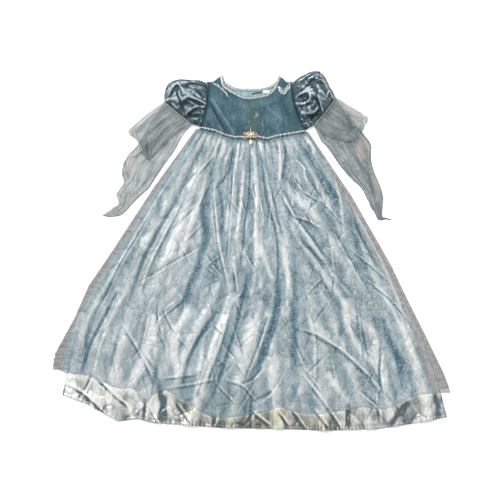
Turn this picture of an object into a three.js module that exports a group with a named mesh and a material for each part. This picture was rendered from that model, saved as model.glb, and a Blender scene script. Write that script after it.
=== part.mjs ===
// A child's princess costume dress, laid flat with its front up.
// Millimetres. +X runs across the dress, +Y from the hem to the neck, +Z up from the table.
// Left and right are those of someone who looks down on the dress with the hem nearest.
import * as THREE from "three";
import { mergeVertices } from "three/addons/utils/BufferGeometryUtils.js";

// Cloth walls and the clearances between the pieces
const organzaWall = 1.3;
const satinWall = 1.4;
const velvetWall = 1.8;
const facingWall = 1.0;
const bindingWall = 1.4;
const ribbonWall = 1.0;
const sleeveWall = 1.5;
const seatGap = 0.3;
const layerGap = 0.5;
const seamGap = 0.8;

// Height of each layer's underside above the table
const underskirtBackLevel = 1.0 + seatGap;
const underskirtFrontLevel = underskirtBackLevel + satinWall + seatGap;
const neckLevel = velvetWall + seatGap;
const bodiceFrontLevel = neckLevel + facingWall + 2 * seatGap;

// Skirt grid: two columns for each knot of the hems, three for each gather
const skirtColumns = 78;
const hemKnots = 39;
const gatherCount = 26;
const gatherHeight = 3.4;
const foldCap = 16;
const backWall = 1.0;

// Side edges of the underskirt, from the waist (down 0) to its hem (down 1)
const skirtSides = [
  { down: 0, leftX: -131, leftY: 329, rightX: 146, rightY: 319 },
  { down: 0.25, leftX: -226, leftY: 161, rightX: 246, rightY: 142 },
  { down: 0.5, leftX: -319, leftY: -9, rightX: 334, rightY: -38 },
  { down: 0.74, leftX: -405, leftY: -171, rightX: 407, rightY: -211 },
  { down: 0.9, leftX: -424, leftY: -280, rightX: 437, rightY: -325 },
  { down: 1, leftX: -432, leftY: -348, rightX: 449, rightY: -397 },
];

// Dip of the waist seam and of the underskirt's hem below the straight line between their ends
const waistDips = [
  { across: 0, dip: 0 }, { across: 0.14, dip: 7 }, { across: 0.23, dip: 18 }, { across: 0.33, dip: 25 },
  { across: 0.48, dip: 22 }, { across: 0.55, dip: 21 }, { across: 0.63, dip: 26 }, { across: 0.72, dip: 17 },
  { across: 0.85, dip: 9 }, { across: 1, dip: 0 },
];
const hemDips = [
  { across: 0, dip: 0 }, { across: 0.06, dip: 15 }, { across: 0.15, dip: 51 }, { across: 0.2, dip: 43 },
  { across: 0.24, dip: 50 }, { across: 0.42, dip: 52 }, { across: 0.57, dip: 47 }, { across: 0.68, dip: 45 },
  { across: 0.82, dip: 35 }, { across: 0.93, dip: 15 }, { across: 1, dip: 0 },
];

// How far the overskirt's hem stops short of the underskirt's hem
const overskirtRises = [
  { across: 0, rise: 54 }, { across: 0.05, rise: 66 }, { across: 0.12, rise: 69 }, { across: 0.18, rise: 72 },
  { across: 0.215, rise: 38 }, { across: 0.235, rise: 62 }, { across: 0.33, rise: 49 },
  { across: 0.365, rise: 25 }, { across: 0.49, rise: 23 }, { across: 0.535, rise: 34 },
  { across: 0.57, rise: 48 }, { across: 0.61, rise: 39 }, { across: 0.74, rise: 44 },
  { across: 0.79, rise: 51 }, { across: 0.845, rise: 43 }, { across: 0.93, rise: 63 }, { across: 1, rise: 59 },
];

// How far the overskirt spreads beyond the underskirt's side edges
const sideSpreads = [
  { down: 0, left: 6, right: 6 }, { down: 0.25, left: 18, right: 10 }, { down: 0.5, left: 23, right: 10 },
  { down: 0.62, left: 28, right: 8 }, { down: 0.74, left: 14, right: 8 }, { down: 0.86, left: 38, right: 20 },
  { down: 1, left: 32, right: 24 },
];

// Soft folds of the skirt front: where each crosses the waist and the hem, its stretch, height and half width
const skirtFolds = [
  { waistAt: 0.016, hemAt: 0.02, from: 0.2, to: 0.9, height: 5, halfWidth: 0.016 },
  { waistAt: 0.07, hemAt: 0.066, from: 0.04, to: 0.86, height: 11, halfWidth: 0.032 },
  { waistAt: 0.15, hemAt: 0.21, from: 0.05, to: 0.72, height: 12, halfWidth: 0.05 },
  { waistAt: 0.2, hemAt: 0.235, from: 0.1, to: 0.6, height: 7, halfWidth: 0.028 },
  { waistAt: 0.17, hemAt: 0.62, from: 0.16, to: 0.62, height: 8, halfWidth: 0.028 },
  { waistAt: 0.37, hemAt: 0.42, from: 0.04, to: 0.5, height: 7, halfWidth: 0.03 },
  { waistAt: 0.44, hemAt: 0.41, from: 0.06, to: 0.62, height: 8, halfWidth: 0.026 },
  { waistAt: 0.51, hemAt: 0.54, from: 0.03, to: 0.52, height: 11, halfWidth: 0.034 },
  { waistAt: 0.735, hemAt: 0.33, from: -0.04, to: 0.22, height: 8, halfWidth: 0.024 },
  { waistAt: 0.67, hemAt: 0.6, from: 0.24, to: 0.74, height: 8, halfWidth: 0.03 },
  { waistAt: 0.52, hemAt: 0.99, from: 0.24, to: 0.74, height: 10, halfWidth: 0.028 },
  { waistAt: 0.73, hemAt: 0.98, from: 0.1, to: 0.6, height: 11, halfWidth: 0.042 },
  { waistAt: 0.86, hemAt: 0.93, from: 0.03, to: 0.5, height: 8, halfWidth: 0.03 },
  { waistAt: 0.95, hemAt: 0.935, from: 0.06, to: 0.66, height: 8, halfWidth: 0.024 },
  { waistAt: 0.13, hemAt: 0.13, from: 0.58, to: 1.15, height: 9, halfWidth: 0.034 },
  { waistAt: 0.52, hemAt: 0.26, from: 0.5, to: 0.98, height: 8, halfWidth: 0.026 },
  { waistAt: 0.6, hemAt: 0.335, from: 0.46, to: 1.2, height: 10, halfWidth: 0.028 },
  { waistAt: 0.64, hemAt: 0.44, from: 0.5, to: 1.2, height: 10, halfWidth: 0.03 },
  { waistAt: 0.56, hemAt: 0.56, from: 0.62, to: 1.2, height: 8, halfWidth: 0.026 },
  { waistAt: 0.73, hemAt: 0.68, from: 0.42, to: 1.2, height: 9, halfWidth: 0.034 },
  { waistAt: 0.66, hemAt: 0.8, from: 0.5, to: 1.1, height: 7, halfWidth: 0.026 },
  { waistAt: 0.87, hemAt: 0.86, from: 0.6, to: 1.1, height: 9, halfWidth: 0.02 },
  { waistAt: 0.96, hemAt: 0.95, from: 0.58, to: 1.2, height: 9, halfWidth: 0.026 },
];

// Edges of the bodice at the shoulders: front neck and back neck
const frontTop = [
  { x: -114.5, y: 462 }, { x: -97, y: 466 }, { x: -80, y: 481 }, { x: -75, y: 451 }, { x: -59, y: 436 },
  { x: -38, y: 422 }, { x: -19, y: 413 }, { x: -1, y: 410 }, { x: 16, y: 412 }, { x: 36, y: 416 },
  { x: 50, y: 421 }, { x: 63, y: 432 }, { x: 71, y: 443 }, { x: 84, y: 479 }, { x: 97, y: 464 }, { x: 112, y: 462 },
];
const backTop = [
  { x: -114.5, y: 462 }, { x: -97, y: 466 }, { x: -80, y: 480 }, { x: -73, y: 472 }, { x: -59, y: 460 },
  { x: -41, y: 449 }, { x: -25, y: 446 }, { x: 2, y: 444.5 }, { x: 29, y: 446 }, { x: 54, y: 454 },
  { x: 70, y: 466 }, { x: 84, y: 478 }, { x: 97, y: 464 }, { x: 112, y: 462 },
];
const frontNeckFrom = 2;
const frontNeckTo = 13;
const backNeckFrom = 2;
const backNeckTo = 11;
const bindingWidth = 8;
const facingDepth = 398;

// Creases of the bodice front, from its armhole towards its waist
const bodiceCrown = 4.5;
const crownSide = 112;
const bodiceFolds = [
  { x1: -112, y1: 430, x2: -42, y2: 300, height: 3.6, halfWidth: 11 },
  { x1: -118, y1: 385, x2: -88, y2: 318, height: 3, halfWidth: 9 },
  { x1: 104, y1: 440, x2: 60, y2: 395, height: 2, halfWidth: 14 },
];

// Puff sleeves: each section runs from the underarm seam (inner) to the sleeve's outer line
const leftPuff = {
  sections: [
    { outerX: -115, outerY: 461, innerX: -131.5, innerY: 334, bow: 9, height: 12 },
    { outerX: -134, outerY: 467, innerX: -134, innerY: 335, bow: 6, height: 25 },
    { outerX: -160, outerY: 467, innerX: -136.5, innerY: 336, bow: 3, height: 37 },
    { outerX: -185, outerY: 465, innerX: -139, innerY: 337, bow: 0, height: 44 },
    { outerX: -206, outerY: 458, innerX: -141.5, innerY: 337.5, bow: 0, height: 46 },
    { outerX: -219, outerY: 448, innerX: -144, innerY: 338, bow: 0, height: 43 },
    { outerX: -225, outerY: 435, innerX: -146.5, innerY: 338.5, bow: -1, height: 35 },
    { outerX: -227, outerY: 420, innerX: -149, innerY: 339, bow: -2, height: 23 },
    { outerX: -225.5, outerY: 405, innerX: -151.5, innerY: 339.5, bow: -3, height: 11 },
  ],
  outward: -1,
};
const rightPuff = {
  sections: [
    { outerX: 113, outerY: 461, innerX: 146.5, innerY: 324, bow: -12, height: 12 },
    { outerX: 130, outerY: 475, innerX: 149, innerY: 325.5, bow: -8, height: 26 },
    { outerX: 153, outerY: 486, innerX: 151.5, innerY: 327, bow: -4, height: 38 },
    { outerX: 175, outerY: 491, innerX: 154, innerY: 328.5, bow: 0, height: 45 },
    { outerX: 191, outerY: 483, innerX: 156.5, innerY: 330, bow: 0, height: 47 },
    { outerX: 202, outerY: 466, innerX: 159, innerY: 331.5, bow: 0, height: 43 },
    { outerX: 210, outerY: 449, innerX: 161.5, innerY: 333.5, bow: 1, height: 35 },
    { outerX: 220, outerY: 433, innerX: 164, innerY: 335.5, bow: 2, height: 23 },
    { outerX: 226.5, outerY: 417, innerX: 167, innerY: 337.5, bow: 3, height: 11 },
  ],
  outward: 1,
};
const puffRingPoints = 36;
const puffSeamHeight = 11;
const puffRipples = 6;
const puffRippleHeight = 2.2;

// Sleeve drapes: rows from the cuff to the loose end, each from the outer to the inner edge
const leftDrapeLower = [
  { outerX: -262, outerY: 345, innerX: -174, innerY: 310 },
  { outerX: -290, outerY: 283, innerX: -200, innerY: 258 },
  { outerX: -319, outerY: 246, innerX: -222, innerY: 222 },
  { outerX: -327, outerY: 208, innerX: -241, innerY: 188 },
  { outerX: -322, outerY: 174, innerX: -262, innerY: 157 },
  { outerX: -337, outerY: 146, innerX: -283, innerY: 135 },
  { outerX: -331, outerY: 121, innerX: -306, innerY: 108 },
  { outerX: -347, outerY: 107, innerX: -324, innerY: 90 },
  { outerX: -370, outerY: 90, innerX: -352, innerY: 85 },
];
const leftDrapeUpper = [
  { outerX: -272, outerY: 366, innerX: -193, innerY: 313 },
  { outerX: -315, outerY: 320, innerX: -218, innerY: 282 },
  { outerX: -296, outerY: 297, innerX: -236, innerY: 262 },
  { outerX: -279, outerY: 262, innerX: -250, innerY: 248 },
  { outerX: -265, outerY: 243, innerX: -259, innerY: 240 },
];
const rightDrapeLower = [
  { outerX: 262, outerY: 362, innerX: 181, innerY: 302 },
  { outerX: 292, outerY: 320, innerX: 200, innerY: 275 },
  { outerX: 313, outerY: 284, innerX: 229, innerY: 228 },
  { outerX: 311, outerY: 248, innerX: 250, innerY: 198 },
  { outerX: 318, outerY: 207, innerX: 268, innerY: 177 },
  { outerX: 328, outerY: 174, innerX: 284, innerY: 161 },
  { outerX: 337, outerY: 140, innerX: 295, innerY: 135 },
  { outerX: 332, outerY: 108, innerX: 306, innerY: 106 },
  { outerX: 331, outerY: 88, innerX: 322, innerY: 79 },
  { outerX: 340, outerY: 84, innerX: 339, innerY: 79 },
  { outerX: 353, outerY: 80, innerX: 353, innerY: 77 },
];
const rightDrapeUpper = [
  { outerX: 250, outerY: 402, innerX: 193, innerY: 311 },
  { outerX: 284, outerY: 377, innerX: 215, innerY: 300 },
  { outerX: 308, outerY: 360, innerX: 238, innerY: 293 },
  { outerX: 303, outerY: 341, innerX: 252, innerY: 290 },
  { outerX: 291, outerY: 318, innerX: 265, innerY: 288 },
];
const drapeColumns = 12;
const drapeRipples = 3.5;
const lowerRippleHeight = 2.2;
const upperRippleHeight = 4;
const upperDrapeStart = 6.1;
const upperDrapeLevel = organzaWall + lowerRippleHeight + layerGap;
const drapeSeam = 0.8;

// Small trims
const braidRadius = 2;
const cordSides = 6;
const braidSteps = 44;
const pipingRadius = 1.3;
const pipingSteps = 16;
const pipingInset = 4;
const labelCorners = { left: 35, right: 52, bottom: 430, top: 440 };
const tapeRoute = [{ x: 5, y: 428.5 }, { x: 14, y: 431.5 }, { x: 31, y: 434 }];
const tapeWidth = 2.6;
const ribbonWidth = 5;
const ribbonSteps = 12;
const leftRibbonLift = 1.6;
const rightRibbonLift = 1.1;
const leftRibbonRoute = [{ x: -99, y: 458 }, { x: -87, y: 451 }, { x: -74, y: 440 }, { x: -60, y: 421 }];
const rightRibbonRoute = [
  { x: 79, y: 444 }, { x: 87, y: 427 }, { x: 97, y: 440 }, { x: 105, y: 457 },
];

// Brooch: an eight-pointed star on the braid, with a gem and a drop
const brooch = { x: 2, y: 306, armNorth: 24, armSide: 19, armSouth: 14, armDiagonal: 12, notch: 6.5, hub: 5 };
const broochRim = 1.2;
const broochHub = 2.6;
const gemRadius = 4;
const dropCentreY = 285.1;
const dropHalf = { x: 4, y: 6.8, z: 1.9 };

const velvet = new THREE.MeshStandardMaterial({ color: 0x3d6273, roughness: 0.85, metalness: 0 });
const panne = new THREE.MeshStandardMaterial({ color: 0x4f6d7b, roughness: 0.3, metalness: 0.2 });
const satin = new THREE.MeshStandardMaterial({ color: 0xd5dbdb, roughness: 0.35, metalness: 0.1 });
const organza = new THREE.MeshStandardMaterial({ color: 0xa9bfc6, roughness: 0.5, metalness: 0.1 });
const drapeOrganza = new THREE.MeshStandardMaterial({ color: 0x9aa5a4, roughness: 0.5, metalness: 0.1 });
const paleSatin = new THREE.MeshStandardMaterial({ color: 0xb4cdd0, roughness: 0.4, metalness: 0.1 });
const darkTape = new THREE.MeshStandardMaterial({ color: 0x39474d, roughness: 0.8, metalness: 0 });
const silverBraid = new THREE.MeshStandardMaterial({ color: 0xc9bdb2, roughness: 0.4, metalness: 0.6 });
const roseGold = new THREE.MeshStandardMaterial({ color: 0xd9b48c, roughness: 0.25, metalness: 0.9 });
const paleGem = new THREE.MeshStandardMaterial({ color: 0xf0e2c8, roughness: 0.15, metalness: 0 });

const dress = new THREE.Group();

function addPiece(name, geometry, material) {
  const piece = new THREE.Mesh(geometry, material);
  piece.name = name;
  dress.add(piece);
}

function lerp(from, to, share) {
  return from + (to - from) * share;
}

function clamp01(value) {
  return Math.min(1, Math.max(0, value));
}

function smooth(value) {
  const share = clamp01(value);
  return share * share * (3 - 2 * share);
}

// Straight-line reading of one column of a table against another
function read(table, key, value, column) {
  let index = 1;
  while (index < table.length - 1 && table[index][key] < value) {
    index += 1;
  }
  const before = table[index - 1];
  const after = table[index];
  return lerp(before[column], after[column], (value - before[key]) / (after[key] - before[key]));
}

// A grid is a list of rows, each a list of points
function makeGrid(rowCount, columnCount, pointAt) {
  return Array.from({ length: rowCount + 1 }, (_, row) =>
    Array.from({ length: columnCount + 1 }, (__, column) => pointAt(row, column)));
}

function lifted(grid, height) {
  return grid.map((row) => row.map((point) => point.clone().setZ(point.z + height)));
}

// Closed geometry from a list of triangles, each three points
function closedGeometry(triangles) {
  const positions = triangles.flatMap((triangle) => triangle.flatMap((point) => [point.x, point.y, point.z]));
  const geometry = new THREE.BufferGeometry();
  geometry.setAttribute("position", new THREE.Float32BufferAttribute(positions, 3));
  const merged = mergeVertices(geometry, 1e-4);
  merged.computeVertexNormals();
  return merged;
}

function addQuad(triangles, a, b, c, d) {
  triangles.push([a, b, c], [a, c, d]);
}

// Area that a grid covers on the table, negative where its rows and columns turn the other way
function coveredArea(grid) {
  let area = 0;
  for (let row = 1; row < grid.length; row += 1) {
    for (let column = 1; column < grid[0].length; column += 1) {
      const [a, b] = [grid[row - 1][column - 1], grid[row][column]];
      const [c, d] = [grid[row - 1][column], grid[row][column - 1]];
      area += ((c.x - d.x) * (b.y - a.y) - (b.x - a.x) * (c.y - d.y)) / 2;
    }
  }
  return area;
}

// Wall between a lower and an upper grid of the same rows and columns
function wallGeometry(lower, upper) {
  const rows = lower.length - 1;
  const columns = lower[0].length - 1;
  const facesUp = coveredArea(lower) > 0;
  const triangles = [];
  const put = (a, b, c, d) => (facesUp ? addQuad(triangles, a, b, c, d) : addQuad(triangles, a, d, c, b));
  for (let row = 0; row < rows; row += 1) {
    for (let column = 0; column < columns; column += 1) {
      put(upper[row][column], upper[row][column + 1], upper[row + 1][column + 1], upper[row + 1][column]);
      put(lower[row][column], lower[row + 1][column], lower[row + 1][column + 1], lower[row][column + 1]);
    }
    put(lower[row][0], upper[row][0], upper[row + 1][0], lower[row + 1][0]);
    put(upper[row][columns], lower[row][columns], lower[row + 1][columns], upper[row + 1][columns]);
  }
  for (let column = 0; column < columns; column += 1) {
    put(lower[0][column], lower[0][column + 1], upper[0][column + 1], upper[0][column]);
    put(upper[rows][column], upper[rows][column + 1], lower[rows][column + 1], lower[rows][column]);
  }
  return closedGeometry(triangles);
}

function addCloth(name, lower, wall, material) {
  addPiece(name, wallGeometry(lower, lifted(lower, wall)), material);
}

// Round cord along a route of points
function cordGeometry(route, radius, sides, steps) {
  const section = new THREE.Shape();
  for (let side = 0; side < sides; side += 1) {
    const angle = (side / sides) * 2 * Math.PI;
    section[side ? "lineTo" : "moveTo"](radius * Math.cos(angle), radius * Math.sin(angle));
  }
  const curve = new THREE.CatmullRomCurve3(route, false, "centripetal");
  return new THREE.ExtrudeGeometry(section, { extrudePath: curve, steps, bevelEnabled: false });
}

// Skirt

// Point of the underskirt at a share across and down it, on the table
function skirtPlan(across, down) {
  const x = lerp(read(skirtSides, "down", down, "leftX"), read(skirtSides, "down", down, "rightX"), across);
  const side = lerp(read(skirtSides, "down", down, "leftY"), read(skirtSides, "down", down, "rightY"), across);
  const dip = lerp(read(waistDips, "across", across, "dip"), read(hemDips, "across", across, "dip"), down);
  return new THREE.Vector3(x, side - dip, 0);
}

// Share down the underskirt at which the overskirt ends, straight between the hem's knots
function overskirtEnd(across) {
  const knotEnd = (knot) => {
    const place = knot / hemKnots;
    const length = skirtPlan(place, 0).distanceTo(skirtPlan(place, 1));
    return 1 - read(overskirtRises, "across", place, "rise") / length;
  };
  const knot = Math.min(hemKnots - 1, Math.floor(across * hemKnots + 1e-9));
  return lerp(knotEnd(knot), knotEnd(knot + 1), across * hemKnots - knot);
}

function gatherAt(across, down) {
  const order = Math.floor(across * gatherCount);
  const length = 0.27 + 0.12 * Math.sin(order * 2.4) + 0.06 * Math.sin(order * 5.1);
  const wave = 0.5 - 0.5 * Math.cos(2 * Math.PI * gatherCount * across);
  return gatherHeight * wave * smooth(down / 0.035) * (1 - smooth((down - 0.04) / length));
}

function foldAt(across, down) {
  let total = 0;
  for (const fold of skirtFolds) {
    const offset = Math.abs(across - lerp(fold.waistAt, fold.hemAt, down)) / fold.halfWidth;
    const along = (down - fold.from) / (fold.to - fold.from);
    if (offset < 1 && along > 0 && along < 1) {
      total += fold.height * Math.cos((offset * Math.PI) / 2) ** 2 * Math.sin(along * Math.PI) ** 0.8;
    }
  }
  return foldCap * Math.tanh(total / foldCap);
}

// Height of the folded skirt front above its flat level, none at the side edges
function skirtRelief(across, down) {
  const side = smooth(Math.min(across, 1 - across) / 0.022);
  const waist = smooth(down / 0.06);
  return gatherAt(across, down) * side + foldAt(across, down) * side * waist;
}

// Rows of the skirt's grids, as shares down it
const frontDowns = [0, 0.035, 0.09, 0.16, 0.25, 0.37, 0.5, 0.62, 0.74, 0.86];
const overskirtBackDowns = [0, 0.25, 0.5, 0.62, 0.74, 0.86];
const underskirtBackDowns = [0, 0.5, 0.74];

function overskirtBackGrid() {
  const rows = [...overskirtBackDowns, "hem"];
  return makeGrid(rows.length - 1, hemKnots + 2, (row, column) => {
    const across = clamp01((column - 1) / hemKnots);
    const down = rows[row] === "hem" ? overskirtEnd(across) - 0.012 : rows[row];
    const point = skirtPlan(across, down);
    const spread = column === 0 ? -read(sideSpreads, "down", down, "left") : 0;
    const rightSpread = column === hemKnots + 2 ? read(sideSpreads, "down", down, "right") : 0;
    return point.setX(point.x + spread + rightSpread);
  });
}

function underskirtBackGrid() {
  const rows = [...underskirtBackDowns, -0.009, 0.01, 1];
  return makeGrid(rows.length - 1, hemKnots, (row, column) => {
    const across = column / hemKnots;
    const nearHem = row >= underskirtBackDowns.length && rows[row] < 1;
    const down = nearHem ? overskirtEnd(across) + rows[row] : rows[row];
    const rests = row > underskirtBackDowns.length;
    return skirtPlan(across, down).setZ(rests ? 0 : underskirtBackLevel);
  });
}

// The underskirt front: its last rows step down past the overskirt's hem
function underskirtFrontGrid() {
  const last = frontDowns.length - 1;
  return makeGrid(last + 3, skirtColumns, (row, column) => {
    const across = column / skirtColumns;
    const end = overskirtEnd(across);
    const down = [...frontDowns, end, end + 0.025, 1][row];
    const level = row > last + 1 ? underskirtFrontLevel - underskirtBackLevel : underskirtFrontLevel;
    const point = skirtPlan(across, down);
    return point.setZ(level + skirtRelief(across, down));
  });
}

// The overskirt front lies on the underskirt front's points, and spreads past them at both sides
function overskirtFrontGrid(underGrid) {
  const rows = frontDowns.length;
  const onTop = lifted(underGrid.slice(0, rows + 1), satinWall + layerGap);
  return onTop.map((line, row) => {
    const edges = ["left", "right"].map((side) => {
      const across = side === "left" ? 0 : 1;
      const down = row === rows ? overskirtEnd(across) : frontDowns[row];
      const spread = read(sideSpreads, "down", down, side) * (side === "left" ? -1 : 1);
      const start = line[side === "left" ? 0 : line.length - 1];
      const level = underskirtBackLevel;
      const near = Math.sign(spread) * Math.min(6, Math.abs(spread) * 0.7);
      const nearPoint = new THREE.Vector3(start.x + near, start.y, level);
      return { nearPoint, farPoint: new THREE.Vector3(start.x + spread, start.y, level) };
    });
    return [edges[0].farPoint, edges[0].nearPoint, ...line, edges[1].nearPoint, edges[1].farPoint];
  });
}

// Bodice

// Edge of the bodice at an armhole, from the underarm (share 0) to the shoulder (share 1)
function armhole(puff, share) {
  const seam = puff.sections[0];
  const bow = 4 * seam.bow * share * (1 - share);
  return lerp(seam.innerX, seam.outerX, share) + bow - puff.outward * seamGap;
}

function waistY(across) {
  return skirtPlan(across, 0).y + seamGap;
}

// Columns at the points of the upper edge and half way between them
function bodiceColumns(top) {
  return top.flatMap((point, index) =>
    (index === 0 ? [point.x] : [(top[index - 1].x + point.x) / 2, point.x]));
}

function bodicePlan(top, columnX, share) {
  const across = (columnX - top[0].x) / (top[top.length - 1].x - top[0].x);
  const x = lerp(armhole(leftPuff, share), armhole(rightPuff, share), across);
  return new THREE.Vector3(x, lerp(waistY(across), read(top, "x", columnX, "y"), share), 0);
}

function bodiceFoldAt(point) {
  let total = 0;
  for (const fold of bodiceFolds) {
    const line = new THREE.Line3(new THREE.Vector3(fold.x1, fold.y1, 0), new THREE.Vector3(fold.x2, fold.y2, 0));
    const along = line.closestPointToPointParameter(point, true);
    const distance = line.at(along, new THREE.Vector3()).distanceTo(point) / fold.halfWidth;
    total += distance < 1 ? fold.height * Math.cos((distance * Math.PI) / 2) ** 2 * Math.sin(along * Math.PI) : 0;
  }
  return total;
}

// Height of the bodice front at a place on the table
function bodiceFrontHeight(x, y) {
  const point = new THREE.Vector3(x, y, 0);
  const left = armhole(leftPuff, 0);
  const across = clamp01((x - left) / (armhole(rightPuff, 0) - left));
  const side = smooth(Math.min(x + crownSide, crownSide - x) / 40);
  const ends = smooth((y - waistY(across)) / 35) * smooth((read(frontTop, "x", x, "y") - y) / 30);
  return bodiceFrontLevel + bodiceCrown * side * ends + bodiceFoldAt(point);
}

function bodiceGrid(top, rowCount, heightAt) {
  const columns = bodiceColumns(top);
  return makeGrid(rowCount, columns.length - 1, (row, column) => {
    const point = bodicePlan(top, columns[column], 1 - row / rowCount);
    return point.setZ(heightAt(point.x, point.y));
  });
}

// Points beside a neck edge, at a distance towards the neck hole
function besideEdge(edge, distance) {
  return edge.map((point, index) => {
    const before = edge[Math.max(0, index - 1)];
    const after = edge[Math.min(edge.length - 1, index + 1)];
    const length = Math.hypot(after.x - before.x, after.y - before.y);
    return {
      x: point.x - ((after.y - before.y) / length) * distance,
      y: point.y + ((after.x - before.x) / length) * distance,
    };
  });
}

// Strip between two edges that have the same number of points
function stripGrid(first, second, level) {
  return [first, second].map((edge) => edge.map((point) => new THREE.Vector3(point.x, point.y, level)));
}

// Ribbon along a smooth route, lifted clear of the bodice front's creases
function ribbonGrid(route, lift) {
  const curve = new THREE.CatmullRomCurve3(route.map((point) => new THREE.Vector3(point.x, point.y, 0)));
  const line = curve.getPoints(ribbonSteps);
  return [-0.5, 0.5].map((side) => besideEdge(line, side * ribbonWidth).map((point) => (
    new THREE.Vector3(point.x, point.y, bodiceFrontHeight(point.x, point.y) + velvetWall + lift))));
}

// Sleeves

// Outline of a puff's section as shares along it and heights: a D with a flat underside
function puffRing(section, swell) {
  const corner = puffSeamHeight / 2;
  return Array.from({ length: puffRingPoints }, (_, index) => {
    const angle = (index / puffRingPoints) * 2 * Math.PI;
    const cosine = Math.cos(angle);
    const sine = Math.sin(angle);
    const share = 0.5 - 0.5 * Math.sign(cosine) * Math.abs(cosine) ** 0.85;
    const ripple = puffRippleHeight * swell * smooth(share / 0.3) * Math.sin(2 * angle * puffRipples);
    const crown = lerp(puffSeamHeight, section.height, smooth(share / 0.55));
    const top = corner + (crown - corner) * Math.abs(sine) ** 0.85 + ripple;
    const bottom = corner - corner * Math.min(1, 1.3 * Math.abs(sine) ** 0.7);
    return { share, z: sine >= 0 ? top : bottom };
  });
}

// Ring points moved out of the wall by a distance, in the section's own plane
function movedRing(section, ring, distance) {
  const length = Math.hypot(section.outerX - section.innerX, section.outerY - section.innerY);
  return ring.map((point, index) => {
    const before = ring[(index + ring.length - 1) % ring.length];
    const after = ring[(index + 1) % ring.length];
    const along = (after.share - before.share) * length;
    const rise = after.z - before.z;
    const size = Math.hypot(along, rise);
    return { share: point.share - (rise / size) * (distance / length), z: point.z + (along / size) * distance };
  });
}

function puffPoint(section, ringPoint) {
  const bow = 4 * section.bow * ringPoint.share * (1 - ringPoint.share);
  const x = lerp(section.innerX, section.outerX, ringPoint.share) + bow;
  return new THREE.Vector3(x, lerp(section.innerY, section.outerY, ringPoint.share), ringPoint.z);
}

function puffRings(puff, distance) {
  const last = puff.sections.length - 1;
  return puff.sections.map((section, index) => {
    const ring = puffRing(section, Math.sin((index / last) * Math.PI));
    const moved = distance === 0 ? ring : movedRing(section, ring, distance);
    return moved.map((point) => puffPoint(section, point));
  });
}

function puffGeometry(puff) {
  const outer = puffRings(puff, 0);
  const inner = puffRings(puff, -sleeveWall);
  const triangles = [];
  const put = (a, b, c, d) => (puff.outward < 0 ? addQuad(triangles, a, b, c, d) : addQuad(triangles, a, d, c, b));
  const last = outer.length - 1;
  for (let point = 0; point < puffRingPoints; point += 1) {
    const next = (point + 1) % puffRingPoints;
    for (let section = 0; section < last; section += 1) {
      put(outer[section][point], outer[section][next], outer[section + 1][next], outer[section + 1][point]);
      put(inner[section][point], inner[section + 1][point], inner[section + 1][next], inner[section][next]);
    }
    put(outer[0][next], outer[0][point], inner[0][point], inner[0][next]);
    put(outer[last][point], outer[last][next], inner[last][next], inner[last][point]);
  }
  return closedGeometry(triangles);
}

// Step on the table from a puff's cuff away from the sleeve
function cuffStep(puff, distance) {
  const cuff = puff.sections[puff.sections.length - 1];
  const along = new THREE.Vector3(cuff.outerX - cuff.innerX, cuff.outerY - cuff.innerY, 0).normalize();
  return new THREE.Vector3(along.y, -along.x, 0).multiplyScalar(puff.outward * distance);
}

// Cuff seam of a puff, moved away from the sleeve by the drape's seam
function cuffSeam(puff) {
  const cuff = puff.sections[puff.sections.length - 1];
  const away = cuffStep(puff, drapeSeam);
  return {
    outerX: cuff.outerX + away.x, outerY: cuff.outerY + away.y,
    innerX: cuff.innerX + away.x, innerY: cuff.innerY + away.y, bow: cuff.bow,
  };
}

// A drape hangs from the cuff seam; ripples run down it and the outer margin of the upper one droops
function drapeGrid(puff, rows, rippleHeight, levelAt) {
  const lines = [cuffSeam(puff), ...rows];
  return makeGrid(lines.length - 1, drapeColumns, (row, column) => {
    const line = lines[row];
    const share = column / drapeColumns;
    const down = row / (lines.length - 1);
    const bow = row === 0 ? 4 * line.bow * share * (1 - share) : 0;
    const wave = 0.5 - 0.5 * Math.cos(2 * Math.PI * drapeRipples * share + 1.3 * Math.sin(3 * down));
    const width = Math.hypot(line.outerX - line.innerX, line.outerY - line.innerY);
    const growth = lerp(0.3, 1, smooth(down / 0.2)) * smooth(width / 40);
    const ripple = rippleHeight * wave * growth * smooth(8 * Math.min(share, 1 - share));
    const x = lerp(line.outerX, line.innerX, share) + bow;
    return new THREE.Vector3(x, lerp(line.outerY, line.innerY, share), levelAt(share, down) + ripple);
  });
}

function upperLevel(share, down) {
  return lerp(upperDrapeStart, upperDrapeLevel, smooth(down / 0.3));
}

function addSleeve(side, puff, lowerRows, upperRows) {
  addPiece(`puff_sleeve_${side}`, puffGeometry(puff), panne);
  const lower = drapeGrid(puff, lowerRows, lowerRippleHeight, () => 0);
  addCloth(`sleeve_drape_${side}_lower`, lower, organzaWall, drapeOrganza);
  const upper = drapeGrid(puff, upperRows, upperRippleHeight, upperLevel);
  addCloth(`sleeve_drape_${side}_upper`, upper, organzaWall, drapeOrganza);
  const cuff = puff.sections[puff.sections.length - 1];
  const ring = movedRing(cuff, puffRing(cuff, 0), seatGap);
  const away = cuffStep(puff, pipingRadius + seatGap);
  const route = ring.slice(pipingInset, puffRingPoints / 2 - pipingInset + 1);
  const pipingRoute = route.map((point) => puffPoint(cuff, point).add(away));
  const piping = cordGeometry(pipingRoute, pipingRadius, cordSides, pipingSteps);
  addPiece(`cuff_piping_${side}`, piping, paleSatin);
}

// Brooch

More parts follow.
